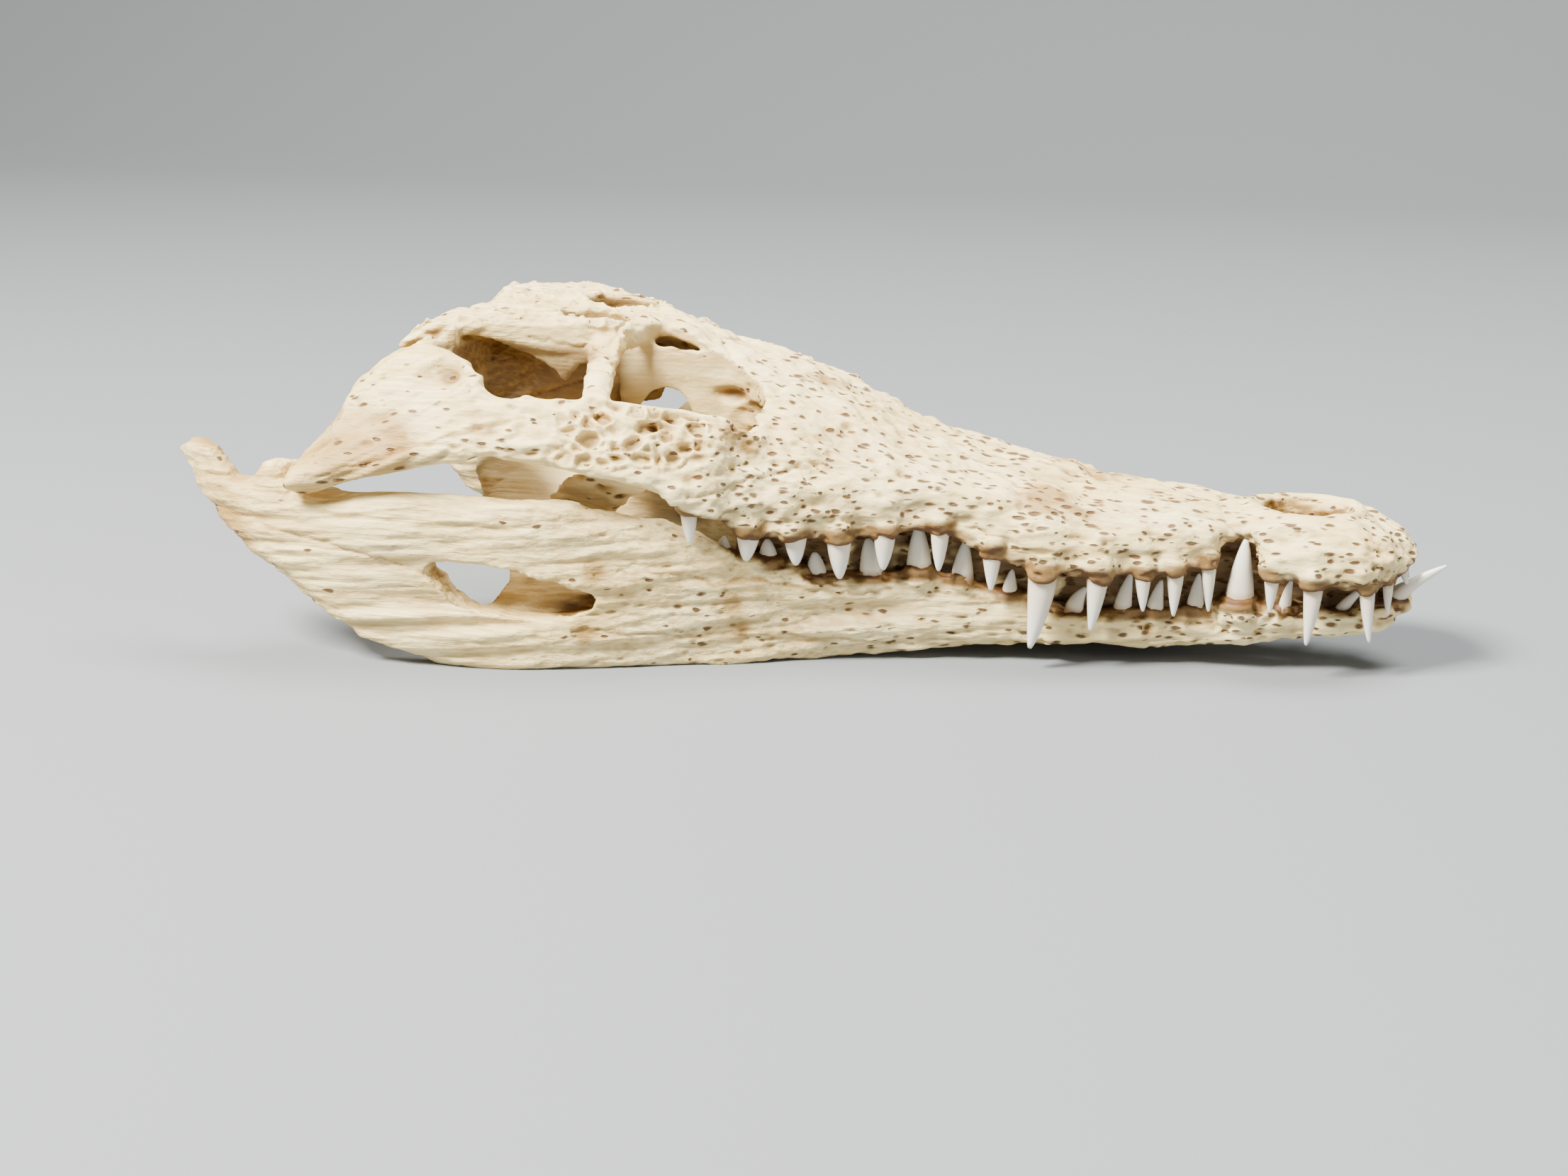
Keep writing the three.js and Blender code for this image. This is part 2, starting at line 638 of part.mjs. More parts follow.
const JAW_STATIONS = [
  1.5, 2.5, 4.5, 8, 13, 18, 23, 28, 33, 38.2, 43, 47.5, 51.6, 56, 60.5, 65, 69, 72, 76, 80.5,
  87.2, 93, 98, 103, 109, 115, 121.6, 126, 131, 136.2, 142, 149.4, 156, 163.7, 171, 180.5, 188,
  194.9, 201, 207.7, 215, 223, 232, 241, 251, 262, 273, 285, 296, 304, 311, 317, 322, 326, 330,
  334, 338, 341.5, 345, 349, 353, 358, 363, 368, 373, 377.4, 380.6, 382,
];

// Rim of the window in the side of the jaw: s and z, blunt behind and pointed ahead.

const JAW_WINDOW = [
  [294.4, 31], [292.5, 33.4], [286.9, 34.8], [280, 34.6], [272, 33.6], [262, 31.2], [252, 28.6],
  [245.6, 25.6], [242, 22.4], [245, 19.2], [252, 16.8], [261, 16.4], [271, 17.3], [279, 19],
  [285.4, 22.2], [291.4, 27.2],
];

function jawWindow(side) {
  return loft([42, 102].map((y) => JAW_WINDOW.map(([s, z]) => at(s, side * y, z))));
}

function jawHalf(side) {
  const whole = loft(JAW_STATIONS.map((s) => jawRing(s, side)));
  const floor = box(-20, 420, -90, 90, -20, REST_LEVEL);
  return without(whole, [jawWindow(side), floor]);
}

// One half of the jaw parted into its bones, the teeth with the front one.

function jawBones(side) {
  const whole = jawHalf(side);
  const lowerTeeth = LOWER_TEETH.map((row) => tooth(row, side));
  const front = whole.intersect(box(-20, DENTARY_END, -90, 90, -5, 120));
  const rear = whole.intersect(box(DENTARY_END + JOINT_GAP, ARTICULAR_START, -90, 90, -5, 120));
  const back = whole.intersect(box(ARTICULAR_START + JOINT_GAP, 420, -90, 90, -5, 120));
  const split = 25;
  const upper = rear.intersect(box(200, 420, -90, 90, split + JOINT_GAP, 120));
  const lower = rear.intersect(box(200, 420, -90, 90, -5, split));
  const upperClear = teeth(UPPER_TEETH, CLEARANCE);
  return {
    dentary: without(joined([front, ...lowerTeeth]), upperClear),
    surangular: upper,
    angular: lower,
    articular: back,
  };
}

// Snout with its teeth, openings and the seats of its neighbours.

function rostrum() {
  const body = loft(SNOUT_STATIONS.map(snoutRing));
  const nostril = ellipsoid(NARIS.s, 0, 49.8, NARIS.rs, NARIS.ry, NARIS.depth, 18);
  const drain = well(INCISIVE_HOLE.s, 0, INCISIVE_HOLE.rs, INCISIVE_HOLE.ry, 20, 46, 1, 10);
  const sockets = pair(well(ORBIT.s, ORBIT.y, ORBIT.rs, ORBIT.ry, ORBIT.floor, 130, 1, 26));
  const pockets = pair(ellipsoid(212, 31, 67.5, 19, 18.5, 14.5, 14));
  const windows = pair(ellipsoid(
    SUBORBITAL.s, SUBORBITAL.y, SUBORBITAL.z, SUBORBITAL.rs, SUBORBITAL.ry, SUBORBITAL.rz, 16,
  ));
  const cheeks = pair(box(JUGAL_START, 240, 46, 90, 30, 130));
  const behind = box(ROSTRUM_END - 3, 260, -80, 80, 20, 130);
  const frontal = box(221, 260, -40, 40, 85.4, 130);
  const lowerClear = teeth(LOWER_TEETH, CLEARANCE);
  const shell = without(body, [
    nostril, drain, ...sockets, ...pockets, ...windows, ...cheeks, frontal,
  ]);
  const toothed = joined([shell, ...teeth(UPPER_TEETH.slice(0, -1))]);
  return without(toothed, [behind, ...lowerClear]);
}

function cheekBone(side) {
  const lastTooth = tooth(UPPER_TEETH[UPPER_TEETH.length - 1], side);
  return joined([cheek(side), lastTooth]);
}

function material(look) {
  return new THREE.MeshStandardMaterial(look);
}

const skull = new THREE.Group();
skull.name = "crocodile_skull";

// One bone as a named mesh: its largest closed surface.

function bone(name, piece, look) {
  const parts = piece.decompose();
  const main = parts.reduce((best, part) => (part.volume() > best.volume() ? part : best));
  const mesh = main.getMesh();
  const geometry = new THREE.BufferGeometry();
  geometry.setAttribute("position", new THREE.BufferAttribute(mesh.vertProperties, 3));
  geometry.setIndex(new THREE.BufferAttribute(mesh.triVerts, 1));
  geometry.computeVertexNormals();
  const object = new THREE.Mesh(geometry, material(look));
  object.name = name;
  skull.add(object);
}

const SIDES = [["left", 1], ["right", -1]];
const cheekClear = SIDES.map(([, side]) => cheek(side, CLEARANCE));
const roofClear = roof(CLEARANCE);
const braincaseClear = braincase(CLEARANCE);
const palateClear = palate(CLEARANCE);
const bars = SIDES.map(([, side]) => orbitBar(side));

bone("rostrum", without(rostrum(), [palateClear]), BONE);
bone("skull_roof", without(joined([roof(), ...bars]), cheekClear), BONE);
bone("braincase", without(braincase(), [roofClear]), WARM_BONE);
bone("palate", without(palate(), [braincaseClear]), BONE);
for (const [name, side] of SIDES) {
  bone(`jugal_${name}`, cheekBone(side), BONE);
  bone(`quadrate_${name}`, without(sideWall(side), [roofClear, braincaseClear]), WARM_BONE);
  bone(`ectopterygoid_${name}`, without(strut(side), [...cheekClear, palateClear]), WARM_BONE);
  const jaw = jawBones(side);
  bone(`dentary_${name}`, jaw.dentary, JAW_BONE);
  bone(`surangular_${name}`, jaw.surangular, JAW_BONE);
  bone(`angular_${name}`, jaw.angular, JAW_BONE);
  bone(`articular_${name}`, jaw.articular, WARM_BONE);
}

// The origin lies under the middle of the part's box.

const reach = new THREE.Box3().setFromObject(skull);
skull.position.x = -(reach.min.x + reach.max.x) / 2;
skull.updateMatrixWorld(true);

export default skull;
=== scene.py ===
"""Looks of a dry crocodile skull with its lower jaw, resting on a plain floor.

The bones of the frame are fused into one cranium and two jaw halves, given their
pits, grooves, sutures, stains and painted shade, and set with finely shaped teeth.
Lengths are metres. Stations along the skull are millimetres back from the snout.
"""

from __future__ import annotations

import logging
import math
from dataclasses import dataclass, replace
from enum import Enum

import bmesh
import bpy
import numpy as np
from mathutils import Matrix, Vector
from mathutils.bvhtree import BVHTree
from mathutils.kdtree import KDTree
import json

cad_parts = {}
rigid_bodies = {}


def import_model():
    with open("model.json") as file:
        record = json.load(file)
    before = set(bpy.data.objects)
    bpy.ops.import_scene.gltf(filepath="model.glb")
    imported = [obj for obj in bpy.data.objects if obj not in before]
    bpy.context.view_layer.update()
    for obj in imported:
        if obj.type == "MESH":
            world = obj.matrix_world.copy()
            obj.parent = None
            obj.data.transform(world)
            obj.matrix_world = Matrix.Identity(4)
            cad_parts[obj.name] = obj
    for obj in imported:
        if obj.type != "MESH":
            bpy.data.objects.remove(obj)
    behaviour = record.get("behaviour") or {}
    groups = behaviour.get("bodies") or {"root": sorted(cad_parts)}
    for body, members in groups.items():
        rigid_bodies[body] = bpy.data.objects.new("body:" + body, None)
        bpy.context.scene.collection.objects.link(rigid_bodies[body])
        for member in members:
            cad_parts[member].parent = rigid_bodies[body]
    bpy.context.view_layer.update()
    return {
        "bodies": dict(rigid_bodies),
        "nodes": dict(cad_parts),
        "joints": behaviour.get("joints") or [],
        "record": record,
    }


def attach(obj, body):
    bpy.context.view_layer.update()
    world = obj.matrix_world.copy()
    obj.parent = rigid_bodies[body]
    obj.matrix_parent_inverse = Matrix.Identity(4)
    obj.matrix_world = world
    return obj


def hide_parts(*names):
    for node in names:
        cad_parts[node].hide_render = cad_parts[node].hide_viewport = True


LOG = logging.getLogger("skull")
MM = 0.001

# Millimetres.
SNOUT_X = 187.35  # X of station 0 in the frame
PUSH_OUT = 0.24  # moves each bone's skin out, which closes the joints
VOXEL = 0.72  # grid of the fused surface
LINK_RADIUS = 2.3  # ridge of bone between two teeth
# The wall inside the tooth rows is a dark sheet of painted shade over the mouth's inside.
WALL_THICK = 1.8  # wall of bone inside the tooth rows
WALL_GAP = 1.4  # between that wall and the lower teeth
WALL_FOOT = 0.6  # its foot over the lower gum line
WALL_TOP = 7.5  # its top over the upper gum line
WALL_NEAREST = 2.4  # its least distance from the middle plane

# Triangles.
CRANIUM_BUDGET = 385000
JAW_BUDGET = 150000
PIECE_LIMIT = 195000  # a heavier piece is cut in two

Array = np.ndarray


class Side(Enum):
    """Halves of the skull, by the sign of Y."""

    LEFT = 1
    RIGHT = -1


class Row(Enum):
    """Tooth rows, by the way their crowns point."""

    UPPER = -1
    LOWER = 1


@dataclass(frozen=True)
class Tooth:
    """One tooth, in millimetres.

    Attributes:
        s: station of the root.
        y: distance of the root from the middle plane.
        gum: height of the gum line.
        tip_s: station of the tip.
        tip_z: height of the tip.
        thick: thickness fore and aft.
        lean: outward lean of the crown.
    """

    s: float
    y: float
    gum: float
    tip_s: float
    tip_z: float
    thick: float
    lean: float

    def centre(self, level: float, side: Side) -> Vector:
        """Point on the tooth's axis.

        Args:
            level: 0 at the gum line, 1 at the tip, below 0 in the root.
            side: half of the skull.

        Returns:
            The point in millimetres of the frame.
        """
        bend = level * 0.4 if level <= 0 else level * (level * 0.6 + 0.4)
        s = self.s + (self.tip_s - self.s) * bend
        y = self.y + self.lean * level * (1.5 - level)
        z = self.gum + (self.tip_z - self.gum) * level
        return Vector((SNOUT_X - s, side.value * y, z))

    @property
    def collar(self) -> float:
        """Level that the collar of bone round the tooth reaches."""
        height = abs(self.tip_z - self.gum)
        return min(4.3, 0.26 * height) / height


UPPER_TEETH = tuple(
    Tooth(*row)
    for row in (
        (3.6, 5.2, 33.8, 1.5, 27.3, 2.6, 0.4),
        (7.5, 11, 31.3, 7, 19.3, 3.4, 0.8),
        (13.5, 16.6, 31.3, 11.8, 12.2, 4.9, 1.4),
        (29, 21.6, 32.8, 30.4, 11.4, 6, 1.2),
        (41.7, 20.4, 34.8, 41.9, 20.4, 5, 0.6),
        (60.9, 20.6, 36.8, 60.4, 19.4, 4.7, 0.5),
        (70.6, 23.6, 34.8, 70.7, 18, 5.5, 0.6),
        (80.2, 26.2, 33.8, 79.8, 19.6, 5.3, 0.6),
        (93.4, 29.6, 33.8, 95.3, 13.2, 7, 0.8),
        (109.6, 33, 34.8, 113.4, 7.2, 9.4, 0.8),
        (125.8, 33.3, 39.8, 126, 24.8, 6.3, 0.4),
        (141.9, 34.9, 46.1, 142.2, 30.3, 6, 0.3),
        (158.5, 38.7, 44.5, 158.9, 30.5, 6.8, 0.2),
        (172.1, 42.7, 43.8, 171.7, 27.8, 7.8, 0.2),
        (184.8, 47.2, 44.2, 184.5, 32.4, 7.2, 0.2),
        (198.4, 51.7, 45.5, 199.3, 33.9, 7.4, 0.2),
        (215.2, 59.3, 52, 214.9, 40.5, 5.2, 0.1),
    )
)

LOWER_TEETH = tuple(
    Tooth(*row)
    for row in (
        (7, 4.2, 19.8, -7.2, 35, 4.6, 0.5),
        (22.4, 8.6, 16.3, 13.4, 28, 4.4, 1.2),
        (38.2, 11.6, 17.3, 36.2, 29.4, 4.2, 0.8),
        (51.6, 15.8, 19.8, 50.4, 41.8, 9, 0.8),
        (65, 15.4, 16.8, 64.2, 29.8, 5.8, 0.6),
        (77.4, 17.2, 15.8, 75.4, 27.4, 5.6, 0.5),
        (87.2, 18.8, 15.8, 84.6, 29.6, 5.8, 0.5),
        (102, 21.6, 16.3, 98.2, 24.6, 6, 0.5),
        (121.6, 24.8, 20.3, 120.8, 29.6, 5.2, 0.5),
        (136.2, 27.2, 25, 135.2, 38.6, 7, 0.5),
        (149.4, 29.6, 26.7, 149.8, 43.6, 8, 0.5),
        (163.7, 32.8, 25.5, 165.2, 38.7, 7.6, 0.4),
        (180.5, 37.1, 25.8, 181.1, 34.2, 6.4, 0.3),
        (194.9, 41.8, 30.1, 195.1, 38.7, 6.4, 0.2),
        (207.7, 47.2, 33.4, 207.5, 40, 5, 0.1),
    )
)

FRONT_FANGS = {
    Side.RIGHT: replace(LOWER_TEETH[0], tip_s=-9.4, tip_z=34.6, thick=5.4),
    Side.LEFT: replace(LOWER_TEETH[0], tip_s=1.5, tip_z=26.5),
}


@dataclass(frozen=True)
class BoneFinish:
    """Colours of dry bone, as linear values.

    Attributes:
        name: material name.
        light: colour of clean, sunlit bone.
        warm: colour of greasier bone, also painted as shade in shut-in places.
        stain: tan of the stained parts, also used for painted shade.
        deep: brown of painted shade in deep hollows, pits, the mouth and the tooth rows.
        roughness: surface roughness.
    """

    name: str
    light: tuple[float, float, float]
    warm: tuple[float, float, float]
    stain: tuple[float, float, float]
    deep: tuple[float, float, float]
    roughness: float


@dataclass(frozen=True)
class EnamelFinish:
    """Colours of a tooth from tip to root, as linear values."""

    name: str
    tip: tuple[float, float, float]
    crown: tuple[float, float, float]
    neck: tuple[float, float, float]
    roughness: float


@dataclass(frozen=True)
class SlitFinish:
    """Slit pits of dry bone.

    Attributes:
        tilt: turn about the cross axis, degrees.
        stretch: scale along the skull.
        scale: cells per metre.
        bend: wander of the edges, metres.
        bend_scale: cells of that wander per metre.
        size: smallest and largest radius, in cells.
        edge: share of the radius over which a pit deepens.
    """

    tilt: float = -9.0
    stretch: float = 0.36
    scale: float = 500.0
    bend: float = 0.0011
    bend_scale: float = 420.0
    size: tuple[float, float] = (0.22, 0.48)
    edge: float = 0.45


BONE = BoneFinish(
    "dry_bone",
    light=(0.95, 0.80, 0.42),
    warm=(0.83, 0.61, 0.24),
    stain=(0.36, 0.215, 0.06),
    deep=(0.095, 0.036, 0.007),
    roughness=0.54,
)
ENAMEL = EnamelFinish(
    "tooth_enamel",
    tip=(0.80, 0.77, 0.68),
    crown=(0.74, 0.66, 0.50),
    neck=(0.36, 0.19, 0.065),
    roughness=0.3,
)


class Noise:
    """Smooth random fields over points in millimetres."""

    AXIS_KEYS = (73856093, 19349663, 83492791)
    SEED_KEY = 2654435761
    STIR_KEYS = (1274126177, 974634777)
    MASK = 0x7FFFFFFF

    @classmethod
    def _hash(cls, cell: Array, seed: int) -> Array:
        """Random value for each integer cell.

        Args:
            cell: (n, 3) integers.
            seed: which field.

        Returns:
            (n,) values from 0 to 1.
        """
        x, y, z = cell.astype(np.int64).T
        key_x, key_y, key_z = cls.AXIS_KEYS
        h = x * key_x ^ y * key_y ^ z * key_z ^ (seed * cls.SEED_KEY)
        h = (h ^ (h >> 13)) * cls.STIR_KEYS[0] & cls.MASK
        h = (h ^ (h >> 16)) * cls.STIR_KEYS[1] & cls.MASK
        return (h ^ (h >> 11)).astype(np.float64) / cls.MASK

    @classmethod
    def value(cls, points: Array, scale: tuple[float, float, float], seed: int) -> Array:
        """Smooth noise from -1 to 1.

        Args:
            points: (n, 3) positions.
            scale: size of a cell along each axis.
            seed: which field.

        Returns:
            (n,) values.
        """
        q = points / np.asarray(scale)
        base = np.floor(q)
        t = q - base
        t = t * t * (3 - 2 * t)
        total = np.zeros(len(points))
        for dx in (0, 1):
            for dy in (0, 1):
                for dz in (0, 1):
                    step = np.array((dx, dy, dz))
                    weight = np.prod(np.where(step == 1, t, 1 - t), axis=1)
                    total += weight * cls._hash(base + step, seed)
        return total * 2 - 1

    @classmethod
    def fractal(
        cls, points: Array, scale: tuple[float, float, float], seed: int, octaves: int = 3
    ) -> Array:
        """Sum of finer and fainter layers of noise.

        Args:
            points: (n, 3) positions.
            scale: size of a cell of the coarsest layer along each axis.
            seed: which field.
            octaves: how many layers.

        Returns:
            (n,) values.
        """
        total = np.zeros(len(points))
        size = np.asarray(scale, dtype=float)
        for octave in range(octaves):
            total += cls.value(points, tuple(size), seed + octave * 17) * 0.5**octave
            size = size / 2.03
        return total

    @classmethod
    def cells(cls, points: Array, scale: tuple[float, float, float], seed: int) -> tuple[Array, Array]:
        """Distances to the nearest and second nearest scattered seed.

        Args:
            points: (n, 3) positions.
            scale: size of a cell along each axis.
            seed: which field.

        Returns:
            Both distances, in cells.
        """
        q = points / np.asarray(scale)
        base = np.floor(q)
        first = np.full(len(points), 9.0)
        second = np.full(len(points), 9.0)
        for dx in (-1, 0, 1):
            for dy in (-1, 0, 1):
                for dz in (-1, 0, 1):
                    cell = base + np.array((dx, dy, dz))
                    spot = np.stack([cls._hash(cell, seed + k) for k in range(3)], axis=1)
                    gap = np.linalg.norm(cell + spot * 0.9 - q, axis=1)
                    nearer = gap < first
                    second = np.where(nearer, first, np.minimum(second, gap))
                    first = np.where(nearer, gap, first)
        return first, second


def smoothstep(low: float, high: float, value: Array) -> Array:
    """Soft step from 0 at low to 1 at high."""
    t = np.clip((value - low) / (high - low), 0, 1)
    return t * t * (3 - 2 * t)


def band(value: Array, low: float, high: float, soft: float) -> Array:
    """1 between low and high, fading over soft on both sides."""
    return smoothstep(low - soft, low + soft, value) * (1 - smoothstep(high - soft, high + soft, value))


@dataclass
class Surface:
    """Points of a bone surface with what the sculpting needs.

    Attributes:
        points: (n, 3) positions in millimetres.
        normals: (n, 3) unit normals.
    """

    points: Array
    normals: Array

    @property
    def s(self) -> Array:
        """Station back from the snout."""
        return SNOUT_X - self.points[:, 0]

    @property
    def y(self) -> Array:
        """Distance from the middle plane."""
        return np.abs(self.points[:, 1])

    @property
    def z(self) -> Array:
        """Height over the floor."""
        return self.points[:, 2]

    @property
    def up(self) -> Array:
        """How far the surface faces up."""
        return self.normals[:, 2]

    @property
    def outward(self) -> Array:
        """How far the surface faces away from the middle plane."""
        return self.normals[:, 1] * np.sign(self.points[:, 1])


@dataclass(frozen=True)
class PitKind:
    """A kind of small pit scattered over a region.

    Attributes:
        count: how many.
        radius: smallest and largest radius, mm.
        depth: smallest and largest depth, mm.
        stretch: length over width, along the skull.
    """

    count: int
    radius: tuple[float, float]
    depth: tuple[float, float]
    stretch: float


@dataclass(frozen=True)
class Dimple:
    """One known hollow on both sides of the skull, in millimetres.

    Attributes:
        s: station of its middle.
        y: distance from the middle plane.
        z: height.
        rs: half length along the skull.
        rz: half height.
        depth: depth at the middle.
        dark: how dark the painted shade inside it is, 0 to 1.
    """

    s: float
    y: float
    z: float
    rs: float
    rz: float
    depth: float
    dark: float

    def shape(self, surface: Surface) -> Array:
        """Share of the full depth at each point.

        Args:
            surface: vertices of the bone.

        Returns:
            (n,) values from 0 to 1.
        """
        gap = ((surface.s - self.s) / self.rs) ** 2 + ((surface.z - self.z) / self.rz) ** 2
        gap += ((surface.y - self.y) / (max(self.rs, self.rz) + 3)) ** 2
        return np.exp(-(gap**1.4)) * (surface.outward > 0)


@dataclass(frozen=True)
class Plate:
    """A thin ragged plate of bone, in millimetres.

    Attributes:
        rim: outline as stations and heights, in order.
        y: distance from the middle plane at the low edge.
        lean: how far the plate leans outward per millimetre of height.
        thick: thickness.
        turn: how far the plate runs outward per millimetre of station.
    """

    rim: tuple[tuple[float, float], ...]
    y: float
    lean: float
    thick: float
    turn: float = 0.0

    def shift(self, back: float, rise: float) -> float:
        """Outward shift of a point of the plate, mm."""
        return self.turn * back + self.lean * rise

    def add(self, mesh: bmesh.types.BMesh, side: Side) -> None:
        """Adds the plate to a mesh.

        Args:
            mesh: mesh that takes it.
            side: half of the skull.
        """
        foot = min(z for _, z in self.rim)
        start = self.rim[0][0]
        rings = []
        for offset in (-self.thick / 2, self.thick / 2):
            ring = []
            for s, z in self.rim:
                y = self.y + self.shift(s - start, z - foot) + offset
                ring.append(mesh.verts.new(Vector((SNOUT_X - s, side.value * y, z)) * MM))
            rings.append(ring)
        inner, outer = rings
        caps = [mesh.faces.new(inner), mesh.faces.new(outer[::-1])]
        sides = []
        for index in range(len(inner)):
            after = (index + 1) % len(inner)
            sides.append(mesh.faces.new((inner[after], inner[index], outer[index], outer[after])))
        bmesh.ops.recalc_face_normals(mesh, faces=caps + sides)
        bmesh.ops.triangulate(mesh, faces=caps)


class Relief:
    """Base class of the relief of a bone: broad form, grain, pits and sutures."""

    seed = 1
    dimples: tuple[Dimple, ...] = ()
    plates: tuple[Plate, ...] = ()

    def warp(self, point: Vector) -> Vector:
        """Slow drift of a point from the even form, mm."""
        return Vector((0, 0, 0))

    def blend_zone(self, surface: Surface) -> Array:
        """Where the step between two fused bones is evened out, 0 to 1."""
        return np.zeros(len(surface.points))

    def net(self, surface: Surface) -> Array:
        """Depth of a net of deep cells, 0 to 1."""
        return np.zeros(len(surface.points))

    def painted_shade(self, surface: Surface) -> Array:
        """Painted shade of shut-in hollows, as dark brown, 0 to 1."""
        return np.zeros(len(surface.points))

    def detail(self, surface: Surface) -> Array:
        """Density of slit pits and strength of fibres, (n, 2)."""
        raise NotImplementedError

    def height(self, surface: Surface) -> Array:
        """Height of the relief along the normal, mm."""
        raise NotImplementedError

    def pit_fields(self, surface: Surface) -> list[tuple[PitKind, Array]]:
        """Kinds of pit with the density of each over the surface."""
        raise NotImplementedError

    def sutures(self, surface: Surface) -> Array:
        """Distance from the nearest suture line, mm."""
        raise NotImplementedError

    def stain(self, surface: Surface) -> Array:
        """Tan of stains and of painted shade, from 0 to 1."""
        raise NotImplementedError


def suture(along: Array, across: Array, wiggle: float, seed: int) -> Array:
    """Distance from a wavy line where across is zero.

    Args:
        along: coordinate along the line.
        across: signed distance from the straight line.
        wiggle: how far the line wanders.
        seed: which wander.

    Returns:
        Distance from the wavy line, mm.
    """
    line = np.stack([along, np.zeros_like(along), np.zeros_like(along)], axis=1)
    wander = Noise.value(line, (9, 9, 9), seed) * wiggle
    wander += Noise.value(line, (2.4, 9, 9), seed + 1) * wiggle * 0.45
    return np.abs(across + wander)


def nearest_suture(count: int, lines: list[tuple[Array, Array, Array, float]], seed: int) -> Array:
    """Distance from the nearest of several wavy lines.

    Args:
        count: how many vertices.
        lines: where each line runs, the coordinates along and across it, and its wiggle.
        seed: wander of the first line.

    Returns:
        Distance from the nearest wavy line, mm.
    """
    far = np.full(count, 99.0)
    for number, (where, along, across, wiggle) in enumerate(lines):
        gap = suture(along, across, wiggle, seed + number * 7)
        far = np.where(where, np.minimum(far, gap), far)
    return far


def mouth_wall(s: Array) -> tuple[Array, Array, Array]:
    """Dark wall of bone inside the tooth rows, a sheet of painted shade that hides the mouth's inside.

    Args:
        s: stations.

    Returns:
        Distance of its outer face from the middle plane, height of its foot and of its top, mm.
    """
    low = [tooth.s for tooth in LOWER_TEETH]
    y = np.interp(s, low, [tooth.y - tooth.thick / 2 - WALL_GAP for tooth in LOWER_TEETH])
    foot = np.interp(s, low, [tooth.gum + WALL_FOOT for tooth in LOWER_TEETH])
    top = np.interp(s, [tooth.s for tooth in UPPER_TEETH], [tooth.gum + WALL_TOP for tooth in UPPER_TEETH])
    return np.maximum(y, WALL_NEAREST), foot, top


